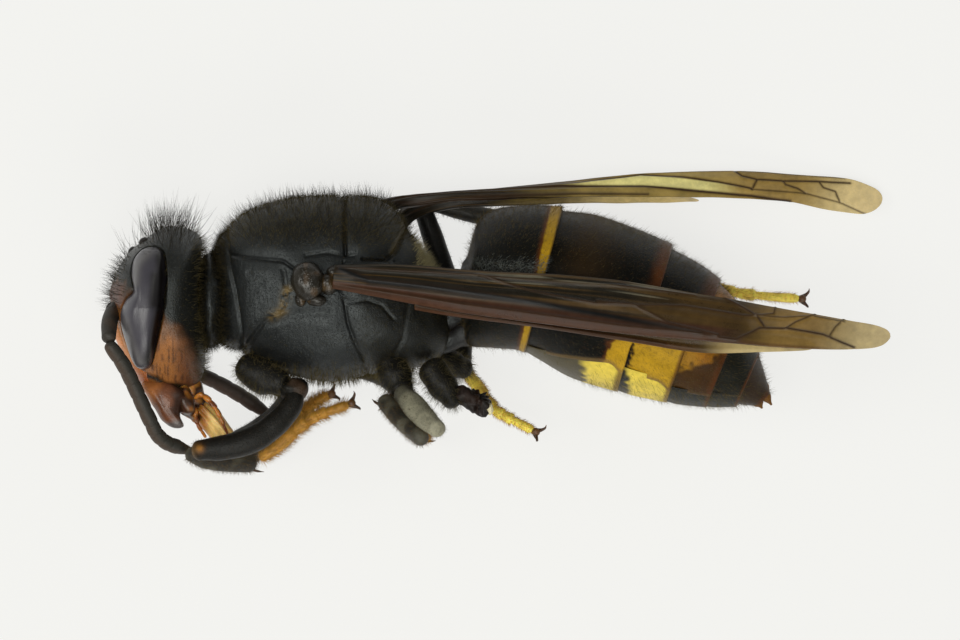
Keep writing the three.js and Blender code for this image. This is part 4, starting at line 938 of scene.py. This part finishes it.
wingShapes = {
    "forewing_left": dict(
        face=1, tip=0.985,
        costa=[[-5.4, 1.0, 3.05], [-3.93, 0.72, 3.3], [-1.55, 0.27, 3.8], [1.12, -0.1, 4.3],
               [4.06, -0.46, 4.7], [6.7, -0.7, 5.0], [9.74, -0.95, 5.25], [11.66, -0.99, 5.35],
               [12.4, -0.93, 5.38], [12.82, -0.78, 5.38]],
        fold=[[-5.33, 1.78, 3.05], [-3.33, 1.8, 3.25], [-0.56, 1.58, 3.5], [2.08, 1.45, 3.75],
              [4.06, 1.25, 3.88], [6.57, 0.83, 4.05], [9.11, 0.38, 4.3], [11.62, -0.07, 4.8],
              [12.5, -0.23, 5.1], [12.95, -0.42, 5.2]],
        veins=[([(-5.15, 1.65), (-4.16, 1.22), (-2.48, 1.02), (-0.43, 0.73), (1.58, 0.43), (4.06, 0.0),
                 (6.7, -0.53)], 0.11, 0.9),
               ([(-5.3, 1.1), (-3.9, 0.9), (-1.5, 0.5), (1.1, 0.15), (4.0, -0.25), (7.2, -0.6)], 0.07, 0.7),
               ([(-0.6, 1.42), (1.22, 0.86), (3.23, 0.46), (4.52, 0.4), (6.1, 0.4), (8.1, 0.07),
                 (8.47, 0.07)], 0.045, 0.8),
               ([(3.3, 0.55), (4.5, 0.4), (5.63, -0.16), (7.2, -0.56)], 0.045, 0.7),
               ([(7.3, -0.65), (7.85, -0.73), (8.61, -0.36), (9.6, -0.38), (10.7, -0.56), (11.7, -0.95)],
                0.05, 0.9),
               ([(7.46, 0.69), (8.51, 0.07), (8.75, -0.3)], 0.045, 0.9),
               ([(9.14, 0.4), (9.08, 0.13), (8.51, 0.07)], 0.04, 0.8),
               ([(9.47, -0.37), (9.8, -0.15), (10.33, 0.07), (10.43, 0.13)], 0.04, 0.85),
               ([(10.9, -0.6), (11.1, -0.3), (11.39, -0.02)], 0.04, 0.85),
               ([(8.51, 0.07), (9.4, 0.0), (10.33, 0.07), (11.39, -0.12)], 0.035, 0.7),
               ([(-5.2, 1.72), (-3.0, 1.55), (-0.8, 1.42), (1.5, 1.2), (4.0, 1.05), (6.5, 0.75)], 0.04,
                0.6)]),
    "forewing_right": dict(
        face=-1, tip=0.968,
        costa=[[-5.0, 2.9, -2.45], [-4.6, 3.6, -1.9], [-3.6, 3.98, -1.5], [-1.82, 4.15, -1.3],
               [0.2, 4.33, -1.35], [2.54, 4.58, -1.6], [4.72, 4.8, -1.9], [7.95, 4.9, -2.4],
               [10.2, 4.76, -2.72], [11.75, 4.62, -2.85], [12.95, 4.15, -2.88]],
        fold=[[-4.6, 2.7, -2.3], [-4.2, 3.2, -1.7], [-3.3, 3.66, -1.15], [-1.58, 3.95, -0.9],
              [0.2, 4.03, -0.9], [2.54, 4.05, -1.1], [4.88, 4.05, -1.35], [8.18, 4.0, -1.9],
              [9.6, 3.9, -2.2], [10.9, 3.62, -2.45], [12.45, 3.42, -2.72]],
        veins=[([(-4.5, 3.5), (-3.4, 3.9), (-0.6, 4.19), (2.11, 4.34), (4.83, 4.34), (8.43, 4.06),
                 (9.71, 3.89)], 0.05, 0.95),
               ([(-3.0, 3.98), (-0.5, 4.24), (2.67, 4.46), (4.75, 4.76), (6.1, 4.66), (7.31, 4.5),
                 (8.43, 4.28)], 0.045, 0.9),
               ([(7.87, 4.9), (8.1, 4.7), (8.6, 4.58), (9.47, 4.54), (10.66, 4.54), (11.7, 4.5)], 0.045, 0.9),
               ([(8.6, 4.58), (8.43, 4.26)], 0.045, 0.9),
               ([(9.47, 4.54), (9.54, 4.42), (9.93, 4.3), (10.2, 4.14)], 0.04, 0.85),
               ([(10.66, 4.54), (10.8, 4.34), (11.2, 4.22), (11.35, 3.86)], 0.04, 0.85),
               ([(8.43, 4.26), (10.2, 4.14), (11.35, 3.86), (12.2, 3.48)], 0.035, 0.7),
               ([(-3.4, 3.75), (-0.6, 4.02), (2.5, 4.12), (5.0, 4.12)], 0.04, 0.8),
               ([(-2.0, 4.16), (2.5, 4.6), (4.7, 4.84), (7.9, 4.93), (11.5, 4.68)], 0.04, 0.7)]),
    "hindwing_left": dict(
        face=1, tip=0.96,
        costa=[[-2.7, 0.3, 2.66], [-1.55, 0.1, 2.85], [1.12, -0.25, 3.35], [4.06, -0.7, 3.85],
               [6.7, -1.1, 4.15], [8.68, -1.08, 4.38], [10.5, -1.02, 4.55]],
        fold=[[-2.7, 0.92, 2.66], [-1.55, 0.72, 2.8], [1.12, 0.35, 3.3], [4.06, 0.05, 3.74],
              [6.7, -0.3, 3.95], [8.68, -0.5, 4.12], [10.42, -0.7, 4.4]],
        veins=[([(-2.6, 0.4), (1.1, -0.18), (4.06, -0.63), (5.5, -0.85)], 0.05, 0.8)]),
    "hindwing_right": dict(
        face=-1, tip=0.975,
        costa=[[-3.6, 3.1, -2.6], [-3.07, 3.7, -2.35], [-1.82, 4.05, -2.1], [0.2, 4.12, -2.15],
               [2.54, 4.22, -2.45], [4.72, 4.22, -2.7], [6.6, 4.0, -2.8]],
        fold=[[-3.2, 2.75, -2.5], [-2.7, 3.3, -2.1], [-1.58, 3.66, -1.75], [0.2, 3.76, -1.8],
              [2.54, 3.84, -2.05], [4.88, 3.86, -2.3], [6.75, 3.88, -2.55]],
        veins=[([(-3.3, 3.3), (-1.7, 3.85), (0.2, 3.98), (1.6, 4.06), (3.0, 4.12)], 0.04, 0.7)]),
}
wingLook = dict(
    base=colour(27, 23, 14), gold=colour(84, 62, 28), amber=colour(146, 116, 60), costa=colour(66, 41, 28),
    edge=colour(72, 44, 25), darkEdge=colour(72, 44, 25) * 0.8, vein=colour(50, 33, 18),
    pleat=colour(10, 12, 13), tip=colour(192, 172, 120), farTip=colour(192, 172, 120) * 1.3,
    hindTip=colour(192, 172, 120) * 1.6,
    # cell is partly the far wing's own yellow, partly a painted glow of light through the wing
    paintedGlint=colour(150, 144, 122), yellow=colour(166, 142, 76), cell=colour(246, 236, 156),
    pleatDepth=0.035, veinHeight=0.035)


def wingTint(name, points, u, v):
    look = wingLook
    u, v = np.broadcast_to(u, points.shape[:-1]), np.broadcast_to(v, points.shape[:-1])
    streak = mottle(np.dstack([u * 3.0, v * 22.0, 0 * u]), 1.0, 121)
    patch = mottle(points, 0.7, 123)
    tint = blend(look["base"], look["gold"], ease(0.35, 0.8, streak) * 0.75)
    if name.endswith("left"):
        tint = blend(tint, blend(look["gold"] * 0.5, look["gold"] * 0.9, patch), ease(0.5, 0.66, u) * 0.75)
        tint = blend(tint, look["amber"] * (0.75 + 0.35 * patch[..., None]), ease(0.72, 0.82, u) * 0.85)
    else:
        tint = blend(tint, look["yellow"] * (0.7 + 0.6 * patch[..., None]), ease(0.3, 0.48, u) * 0.9)
    if name == "forewing_left":
        # pale streaks on the membrane: a painted highlight
        paintedGlint = ease(0.6, 0.85, mottle(np.dstack([u * 9.0, v * 30.0, 0 * u]), 1.0, 125))
        marks = [("costa", ease(0.36, 0.26, v) * ease(0.76, 0.66, u)),
                 ("edge", ease(0.09, 0.03, v) * 0.6),
                 ("paintedGlint", paintedGlint * 0.4 * ease(0.6, 0.75, v) * ease(0.2, 0.35, u) * ease(0.72, 0.6, u)),
                 ("tip", ease(0.85, 0.97, u) * 0.9)]
    if name == "hindwing_left":
        marks = [("edge", ease(0.3, 0.1, v) * ease(0.75, 0.6, u)), ("tip", ease(0.7, 0.85, u))]
    if name == "forewing_right":
        # the cell between the two veins is painted near-white yellow: partly the membrane's own yellow,
        # partly a painted glow of light through the wing
        x, y = points[..., 0], points[..., 1]
        low = np.interp(x, [-0.6, 2.11, 4.83, 8.43], [4.19, 4.34, 4.34, 4.06])
        high = np.interp(x, [-0.5, 2.67, 4.75, 7.31, 8.43], [4.24, 4.46, 4.76, 4.5, 4.28])
        between = ease(0.0, 0.05, y - low) * ease(0.0, 0.05, high - y)
        backlitGlow = between * ease(1.6, 3.4, x) * ease(8.2, 6.6, x)
        marks = [("darkEdge", ease(0.14, 0.06, v) * ease(0.6, 0.4, u) * 0.7),
                 ("amber", ease(0.66, 0.78, u) * 0.6),
                 ("cell", backlitGlow * (0.75 + 0.25 * patch)),
                 ("farTip", ease(0.84, 0.95, u) * 0.9)]
    if name == "hindwing_right":
        marks = [("hindTip", ease(0.5, 0.72, u) * 0.95)]
    return marked(tint, look, *marks)


def buildWings():
    for name, shape in wingShapes.items():
        rows, columns = (460, 64) if name.startswith("fore") else (300, 34)
        u, v = np.linspace(0, 1, rows)[:, None], np.linspace(0, 1, columns)[None]
        lead, trail = evenCurve(shape["costa"], u[:, 0]), evenCurve(shape["fold"], u[:, 0])
        tip = shape["tip"]  # from here on the blade narrows to its round end
        narrow = np.sqrt(np.clip(1 - (np.clip(u - tip, 0, 1) / (1.0002 - tip)) ** 2.6, 0, 1))
        share = (0.5 + (v - 0.5) * narrow)[..., None]
        grid = lead[:, None] * (1 - share) + trail[:, None] * share
        facing = gridNormals(grid, wrap=False)
        facing = np.where(facing[..., 2:] * shape["face"] < 0, -facing, facing)
        pleat = wingLook["pleatDepth"] * np.sin(v * np.pi * 5) * ease(0.0, 0.1, u) * ease(0.9, 0.5, u)
        relief = pleat + 0.04 * (mottle(grid, 0.8, 127) - 0.5)
        line = np.zeros_like(relief)
        for path, width, strength in shape["veins"]:
            vein = bell(lineDistance(grid, path), 0, width)
            relief = relief + wingLook["veinHeight"] * vein
            line = np.maximum(line, strength * vein)
        tint = blend(wingTint(name, grid, u, v), wingLook["vein"], np.clip(line * 1.1, 0, 1))
        if name == "forewing_left":
            mainFold = bell(lineDistance(grid, shape["veins"][0][0]), 0, 0.1) * ease(0.72, 0.5, u)
            tint = blend(tint, wingLook["pleat"], mainFold)
        cover = 0.88 + 0.12 * np.clip(line * 1.5, 0, 1)
        cover = np.maximum(cover, ease(0.45, 0.2, u) * 0.97)
        cover = cover * (1 - 0.16 * ease(0.85, 1.0, u))
        body = np.sin(np.pi * np.clip(v, 0.02, 0.98)) ** 0.5 * (0.1 + 0.1 * ease(0.5, 0.0, u))
        body = body * (0.1 + 0.9 * ease(1.0, 0.8, u))
        upper = grid + facing * (relief + body)[..., None]
        lower = grid - facing * (body - 0.6 * relief)[..., None]
        addPiece(f"{name}_membrane", platesForm(upper, lower, tint), membrane, [name],
                 cover=np.r_[cover.ravel(), cover.ravel()])


# legs

legs = {
    "left_fore": dict(
        coxa=([[-8.2, -1.6, 0.7], [-7.76, -1.88, 0.9], [-7.16, -2.08, 1.0]], [0.5, 0.6, 0.42]),
        femur=([[-6.7, -2.3, 1.15], [-6.72, -2.75, 1.35], [-7.16, -3.33, 1.5], [-7.82, -3.84, 1.6],
                [-8.65, -4.17, 1.65], [-9.8, -4.34, 1.6]], [0.3, 0.38, 0.42, 0.45, 0.42, 0.34]),
        tibia=([[-10.05, -4.46, 1.0], [-9.64, -4.65, 0.6], [-8.88, -4.72, 0.1], [-8.2, -4.74, -0.3]],
               [0.26, 0.28, 0.33, 0.33]),
        tarsus=[[-7.75, -4.56, -0.55], [-7.33, -4.29, -0.5], [-6.67, -3.7, -0.4], [-6.01, -3.23, -0.3],
                [-4.95, -2.84, -0.2]],
        foot="orange"),
    "left_mid": dict(
        coxa=([[-3.5, -1.5, 0.9], [-3.3, -2.0, 1.1], [-3.14, -2.3, 1.3]], [0.5, 0.56, 0.4]),
        femur=([[-3.07, -2.5, 1.7], [-2.67, -2.95, 2.7], [-2.24, -3.38, 3.9], [-1.98, -3.6, 4.55]],
               [0.34, 0.4, 0.37, 0.29]),
        tibia=([[-2.5, -3.9, 3.8], [-2.9, -3.55, 2.9], [-3.3, -3.15, 2.1], [-3.65, -2.75, 1.3]],
               [0.27, 0.3, 0.32, 0.3]),
        tarsus=[[-3.55, -2.85, 0.6], [-3.2, -3.2, 0.0], [-2.75, -3.65, -1.0], [-2.45, -3.82, -2.0],
                [-2.38, -3.86, -2.95]],
        foot="orange"),
    "left_hind": dict(
        coxa=([[-2.1, -1.7, 0.9], [-1.75, -2.25, 1.1], [-1.47, -2.68, 1.2]], [0.5, 0.5, 0.34]),
        stump=([[-1.2, -2.5, 1.2], [-0.89, -2.64, 1.2], [-0.5, -2.8, 1.2]], [0.3, 0.38, 0.3])),
    "right_fore": dict(
        coxa=([[-8.1, -1.6, -0.7], [-7.6, -1.9, -0.85], [-7.1, -2.2, -1.0]], [0.5, 0.55, 0.4]),
        femur=([[-6.9, -2.62, -1.15], [-7.23, -3.2, -1.6], [-7.85, -3.7, -2.1], [-8.5, -4.05, -2.55],
                [-9.0, -4.25, -2.8]],
               [0.32, 0.4, 0.42, 0.4, 0.34]),
        tibia=([[-9.3, -4.6, -2.85], [-8.8, -4.72, -2.87], [-8.15, -4.5, -2.87], [-7.6, -4.15, -2.87]],
               [0.26, 0.28, 0.31, 0.31]),
        tarsus=[[-7.26, -3.85, -2.88], [-6.77, -3.4, -2.8], [-6.3, -2.97, -2.6], [-5.91, -2.67, -2.4],
                [-5.61, -2.54, -2.3]],
        foot="orange"),
    "right_mid": dict(
        coxa=([[-3.4, -1.5, -0.8], [-3.25, -1.95, -1.0]], [0.5, 0.45]),
        femur=([[-3.3, -2.1, -1.55], [-4.0, -1.75, -2.35], [-5.0, -1.5, -2.75]], [0.32, 0.38, 0.32]),
        tibia=([[-5.35, -1.0, -2.87], [-4.4, -0.95, -2.87], [-2.9, -1.1, -2.87], [-1.6, -1.25, -2.8]],
               [0.26, 0.29, 0.3, 0.28]),
        tarsus=[[-1.25, -1.5, -2.6], [-0.63, -2.24, -2.2], [-0.05, -3.0, -1.8], [0.45, -3.3, -1.6],
                [1.15, -3.66, -1.4]],
        foot="yellow"),
    "right_hind": dict(
        coxa=([[-1.85, -1.3, -0.6], [-1.4, -1.55, -0.9], [-1.1, -1.62, -1.1]], [0.45, 0.45, 0.36]),
        femur=([[-1.15, -1.3, -1.75], [-1.19, -0.43, -2.1], [-1.49, 0.63, -2.5], [-1.85, 1.88, -2.75],
                [-2.4, 3.5, -2.84]],
               [0.32, 0.38, 0.38, 0.36, 0.32]),
        tibia=([[-2.1, 3.82, -2.88], [-0.89, 3.5, -2.88], [0.76, 3.17, -2.88], [3.1, 2.68, -2.88]],
               [0.27, 0.3, 0.32, 0.32]),
        tarsus=[[3.6, 2.48, -2.92], [5.38, 1.82, -2.92], [7.59, 0.95, -2.92], [8.84, 0.76, -2.92],
                [9.95, 0.68, -2.92]],
        foot="yellow"),
}
legLook = dict(
    black=colour(15, 14, 10), dust=colour(142, 139, 118), shin=colour(34, 31, 23),
    # yellow, used on the far feet, is their own yellow painted brighter: painted light where they lie in
    # shade
    orange=colour(198, 144, 50), amber=colour(198, 144, 50) * 0.4, yellow=colour(248, 226, 92),
    claw=colour(66, 44, 26), pad=colour(92, 62, 34), knee=colour(150, 100, 36), joint=colour(56, 38, 22),
    stump=colour(20, 17, 16), tornEdge=colour(44, 28, 20), splinter=colour(24, 18, 16),
    tissue=colour(226, 216, 178), brush=colour(178, 134, 58), fringe=colour(98, 88, 58))


def tarsusProfile(t):
    # five lengths, the first longest, each flaring towards its end
    ends = np.array([0, 0.42, 0.57, 0.69, 0.79, 1.001])
    k = np.clip(np.searchsorted(ends, t, side="right") - 1, 0, 4)
    share = (t - ends[k]) / (ends[k + 1] - ends[k])
    return (0.66 + 0.3 * share**0.8) * (1 - 0.35 * share**16) * np.where(k == 4, 0.86, 1.0)


def aheadAndSide(points, across):
    ahead = unit(np.subtract(points[-1], points[-2]))
    return ahead, unit(np.cross(ahead, across))


def clawForms(points):
    last = np.array(points[-1], float)
    ahead, side = aheadAndSide(points, [0.2, 0.3, 1.0])
    down = np.cross(ahead, side)
    forms = []
    for turn in (1, -1):
        line = [last + ahead * 0.05, last + ahead * 0.25 + side * turn * 0.14 + down * 0.04,
                last + ahead * 0.36 + side * turn * 0.26 - down * 0.02,
                last + ahead * 0.37 + side * turn * 0.33 - down * 0.12]
        forms.append(closedForm(limbGrid(line, [0.09, 0.075, 0.045, 0.012], 24, 14), legLook["claw"]))
    pad = ballGrid(last + ahead * 0.16, [0.14, 0.14, 0.12])
    forms.append(closedForm(aboveFloor(pad), legLook["pad"]))
    return forms


def spurForms(points, turns):
    end = np.array(points[-1], float)
    ahead, side = aheadAndSide(points, [0.1, 0.2, 1.0])
    forms = []
    for turn in turns:
        start = end + side * turn * 0.2
        line = [start, start + ahead * 0.3 + side * turn * 0.08, start + ahead * 0.55 + side * turn * 0.1]
        forms.append(closedForm(limbGrid(line, [0.06, 0.045, 0.01], 16, 10), legLook["claw"]))
    return forms


def buildLimb(leg, part, points, radii):
    bumps = 0.05 if part == "coxa" else 0.025
    grid = limbGrid(points, radii, 70 if part == "femur" else 50, 36)
    grid = aboveFloor(roughened(grid, bumps, 0.4, 131))
    x, z = grid[..., 0], grid[..., 2]
    tint, material, slotName, extras = legLook["black"], legCuticle, "upper_leg", []
    if part == "tibia":
        tint = blend(legLook["shin"], legLook["dust"], 0.25 * ease(0.4, 0.8, mottle(grid, 0.5, 133)))
        material, slotName = dustySkin, "tibia"
        extras = spurForms(points, (1,) if leg == "left_fore" else (1, -1))
    if (leg, part) == ("left_mid", "femur"):
        dusty = ease(1.4, 2.9, z + 0.8 * (mottle(grid, 0.4, 139) - 0.5))
        tint = blend(legLook["black"], legLook["dust"], dusty)
        material = dustySkin
    if (leg, part) == ("left_fore", "femur"):
        spot = np.hypot(x + 9.8, grid[..., 1] + 4.26)
        tint = marked(tint, legLook,
                      ("knee", bell(spot, 0, 0.13) * (z > 1.6)), ("amber", 0.5 * bell(x, -10.1, 0.15)))
        joint = roughened(ballGrid([-6.66, -2.32, 1.15], [0.44, 0.38, 0.4], 40, 50), 0.2, 0.28, 135)
        patches = 0.8 * ease(0.55, 0.85, mottle(joint, 0.3, 136))
        extras = [closedForm(joint, blend(legLook["black"], legLook["joint"], patches))]
    addPiece(f"leg_{leg}_{part}_skin", gathered([closedForm(grid, tint)] + extras), material,
             [f"leg_{leg}_{part}"])
    return grid


def buildTarsus(leg, points, foot):
    grid = limbGrid(points, [0.25, 0.24, 0.23, 0.22, 0.2], 150, 26, profile=tarsusProfile)
    tint = blend(legLook[foot], legLook["orange"] * 0.6, 0.55 * ease(0.5, 0.8, mottle(grid, 0.3, 137)))
    form = gathered([closedForm(grid, tint)] + clawForms(points))
    addPiece(f"leg_{leg}_tarsus_skin", form, footSkin, [f"leg_{leg}_tarsus"])
    return grid


def buildStump(points, radii):
    grid = limbGrid(points, radii, 60, 44)
    torn = ease(-1.0, -0.5, grid[..., 0])
    grid = raised(grid, (0.22 * torn + 0.08) * (mottle(grid, 0.16, 141) - 0.5) * 1.6)
    forms = [closedForm(grid, blend(legLook["stump"], legLook["tornEdge"], mottle(grid, 0.2, 143)))]
    for k in range(7):  # splinters around the break
        turn = k * 0.9
        start = np.array([-0.55, -2.78, 1.2]) + [0, 0.2 * np.cos(turn), 0.2 * np.sin(turn)]
        tip = start + [0.22 + 0.1 * np.sin(k * 2.3), 0.16 * np.cos(turn * 1.3), 0.1 * np.sin(turn)]
        line = [start, (start + tip) / 2 + [0, 0.02, 0], tip]
        forms.append(closedForm(limbGrid(line, [0.09, 0.06, 0.015], 12, 10), legLook["splinter"]))
    shred = roughened(ballGrid([-0.32, -2.95, 1.15], [0.16, 0.2, 0.16]), 0.16, 0.12, 145)
    forms.append(closedForm(shred, legLook["tissue"]))
    addPiece("leg_left_hind_torn_end", gathered(forms), legCuticle, ["leg_left_hind_stump"])


def buildLegs():
    grids = {}
    for leg, parts in legs.items():
        for part in ("coxa", "femur", "tibia"):
            if part in parts:
                grids[leg, part] = buildLimb(leg, part, *parts[part])
        if "tarsus" in parts:
            grids[leg, "tarsus"] = buildTarsus(leg, parts["tarsus"], parts["foot"])
    buildStump(*legs["left_hind"]["stump"])
    return grids


# coats

hairLook = dict(dark=colour(34, 30, 22), gold=colour(104, 92, 54), pale=colour(164, 154, 116),
                grey=colour(104, 108, 104), straw=colour(96, 76, 42), femur=colour(74, 62, 46),
                tibia=colour(92, 76, 52))

def tuft(grid, count, seeds, wanted, length, lean, radius, tint, wrap=True, **more):
    return strands(rootsOn(grid, count, seeds[0], wanted, wrap), length, lean, radius, tint, seeds[1], **more)


def buildCoats(head, thorax, neck, tergites, sternites, legGrids):
    dark, gold, pale = hairLook["dark"], hairLook["gold"], hairLook["pale"]
    crown = lambda p: (ease(1.9, 2.7, p[..., 1]) * ease(-11.8, -11.0, p[..., 0])
                       * ease(-9.7, -10.3, p[..., 0]) + 0.1 * ease(1.6, 2.4, p[..., 1]))
    nape = lambda p: ease(-10.2, -9.8, p[..., 0]) + 0.02
    front = lambda p: ease(-12.0, -12.4, p[..., 0]) * ease(-0.2, 0.6, p[..., 1])
    cheeks = lambda p: ease(-9.9, -10.3, p[..., 0]) * 0.4 + 0.2
    addCoat("head_hair", [
        tuft(head, 430, (201, 202), crown, 0.98, [0.05, 0.5, 0], 0.006, dark, scatter=0.3),
        tuft(head, 1800, (203, 204), nape, 0.28, [0.3, 0.2, 0], 0.0045, gold * 0.4, scatter=0.3),
        tuft(head, 380, (205, 206), front, 0.42, [-0.4, 0.3, 0], 0.0055, dark, scatter=0.3),
        tuft(head, 2600, (207, 208), cheeks, 0.1, [0.2, -0.3, 0], 0.005, gold * 0.6, joints=1),
    ])

    back = lambda p: ease(2.1, 2.9, p[..., 1])
    sides = lambda p: 0.25 + 0.75 * ease(2.2, 2.6, p[..., 1]) + 0.5 * ease(-4.9, -4.3, p[..., 0])
    collar = lambda p: (ease(-8.7, -9.1, p[..., 0])
                        + 0.5 * ease(-0.7, -1.2, p[..., 1]) * ease(-7.6, -8.3, p[..., 0]))
    rear = lambda p: ease(-2.9, -2.3, p[..., 0]) * ease(1.0, 1.6, p[..., 1])
    belly = lambda p: ease(-1.3, -1.8, p[..., 1])
    addCoat("thorax_down", [
        tuft(thorax, 15000, (211, 212), sides, 0.12, [0.4, 0.1, 0], 0.0045, gold * 0.4, joints=1),
        tuft(thorax, 6500, (213, 214), back, 0.2, [0.4, 0.2, 0], 0.005, gold * 0.62, joints=1),
    ])
    addCoat("thorax_hair", [
        tuft(thorax, 2000, (215, 216), back, 0.46, [-0.1, 0.35, 0], 0.005, dark, scatter=0.24),
        # the collar and neck hair is near-black: painted shade between head and thorax
        tuft(thorax, 5200, (217, 218), collar, 0.2, [-0.2, 0.1, 0], 0.006, gold * 0.2, scatter=0.3, joints=1),
        tuft(neck, 5000, (223, 224), None, 0.24, [0, -0.2, 0], 0.006, gold * 0.16, scatter=0.3, joints=1),
        tuft(thorax, 1600, (219, 220), rear, 0.34, [0.3, 0.3, 0], 0.006, pale),
        tuft(thorax, 1500, (221, 222), belly, 0.28, [0.0, -0.4, 0], 0.006, gold * 0.5),
    ])

    even = lambda p: 0.5 + 0.5 * ease(1.5, 3.0, np.abs(p[..., 1]))
    mixed = lambda roots, random: blend(gold * 0.5, hairLook["straw"], random.random(len(roots)))
    tufts = []
    for k, ((grid, whole), count) in enumerate(zip(tergites, (9000, 7000, 4200, 3000, 1800, 1200))):
        tufts.append(tuft(grid, count, (231 + k, 241 + k), even, 0.1, [0.9, 0, 0], 0.0035, mixed, whole,
                          joints=1))
        tufts.append(tuft(grid, count // 9, (251 + k, 261 + k), even, 0.26, [0.5, 0.1, 0], 0.0038,
                          gold * 0.7, whole, scatter=0.2))
    low = lambda p: ease(-1.6, -2.2, p[..., 1]) + 0.1
    for k, grid in enumerate(sternites):
        tufts.append(tuft(grid, 420, (281 + k, 291 + k), low, 0.24, [0.6, -0.1, 0], 0.0036, gold, False,
                          scatter=0.2))
    patch = lambda p: bell(p[..., 1], 1.75, 0.2) * ease(-0.9, -0.6, p[..., 0]) * (np.abs(p[..., 2]) > 1)
    tufts.append(tuft(tergites[0][0], 2200, (271, 272), patch, 0.15, [0.8, 0, 0], 0.006, hairLook["grey"],
                      joints=1))
    addCoat("gaster_hair", tufts)

    # on each length of leg: how many, how long, which way, how thick and which colour
    legCoats = dict(coxa=(1100, 0.24, [0, -0.3, 0], 0.0045, legLook["fringe"] * 0.8, 2),
                    femur=(1300, 0.1, [0.2, -0.2, 0], 0.005, hairLook["femur"], 1),
                    tibia=(1300, 0.13, [0.2, -0.2, 0], 0.006, hairLook["tibia"], 1),
                    tarsus=(2400, 0.12, None, 0.006, legLook["brush"], 1))
    tufts = []
    for k, ((leg, part), grid) in enumerate(legGrids.items()):
        count, length, lean, radius, tint, joints = legCoats[part]
        if part == "tarsus":
            lean = unit(grid[-1, 0] - grid[0, 0]) * 0.7
            length = 0.22 if legs[leg]["foot"] == "orange" else length
        tufts.append(tuft(grid, count, (301 + k, 331 + k), None, length, lean, radius, tint, joints=joints))
    addCoat("leg_hair", tufts)


print("head")
headGrid = buildHead()
buildEyes()
buildFace()
buildMandibles()
buildMouth()
buildFeelers()
print("thorax")
thoraxGrid, neckGrid = buildThorax()
buildTegulae()
print("gaster")
gasterGrids, sterniteGrids = buildGaster()
print("wings")
buildWings()
print("legs")
legGrids = buildLegs()
print("hair")
buildCoats(headGrid, thoraxGrid, neckGrid, gasterGrids, sterniteGrids, legGrids)


# floor, light and camera

studio = dict(
    card={"Base Color": (0.13, 0.13, 0.125, 1), "Roughness": 0.9, "Specular IOR Level": 0.0,
          "Emission Color": (1.0, 1.0, 0.98, 1), "Emission Strength": 0.76},
    warm=(1.0, 0.99, 0.93),
    # each panel: its name, place, size and power
    panels=[("panel_above", (-0.04, -0.05, 0.34), (0.2, 0.16), 0.5),
            ("panel_left", (-0.25, 0.01, 0.24), (0.18, 0.16), 0.42),
            ("panel_back_right", (0.2, 0.16, 0.24), (0.16, 0.12), 0.06),
            ("panel_front", (0.05, -0.24, 0.22), (0.24, 0.14), 0.38)])

def paleFloor():
    mesh = bpy.data.meshes.new("floor")
    reach = 0.5
    mesh.from_pydata([(-reach, -reach, 0), (reach, -reach, 0), (reach, reach, 0), (-reach, reach, 0)], [],
                     [(0, 1, 2, 3)])
    floor = bpy.data.objects.new("floor", mesh)
    bpy.context.scene.collection.objects.link(floor)
    material = bpy.data.materials.new("pale_card")
    material.use_nodes = True
    for socket, value in studio["card"].items():
        material.node_tree.nodes["Principled BSDF"].inputs[socket].default_value = value
    mesh.materials.append(material)


def softLight(name, place, size, power):
    lamp = bpy.data.lights.new(name, "AREA")
    lamp.shape = "RECTANGLE"
    lamp.size, lamp.size_y = size
    lamp.energy = power
    lamp.color = studio["warm"]
    thing = bpy.data.objects.new(name, lamp)
    thing.location = place
    thing.rotation_euler = (-Vector(place)).to_track_quat("-Z", "Y").to_euler()
    bpy.context.scene.collection.objects.link(thing)


def lightAndCamera():
    world = bpy.data.worlds.new("studio")
    bpy.context.scene.world = world
    world.use_nodes = True
    background = world.node_tree.nodes["Background"]
    background.inputs["Color"].default_value = (1.0, 1.0, 0.95, 1)
    background.inputs["Strength"].default_value = 0.2
    for panel in studio["panels"]:
        softLight(*panel)
    camera = bpy.data.cameras.new("overhead")
    camera.sensor_width = 36
    camera.lens = 909
    camera.clip_start = 0.01
    camera.clip_end = 10
    thing = bpy.data.objects.new("overhead", camera)
    thing.location = (-0.000521, -0.000008, 0.8 + 0.00315)
    bpy.context.scene.collection.objects.link(thing)
    bpy.context.scene.camera = thing
    bpy.context.scene.view_settings.view_transform = "Standard"


print("light and camera")
paleFloor()
lightAndCamera()
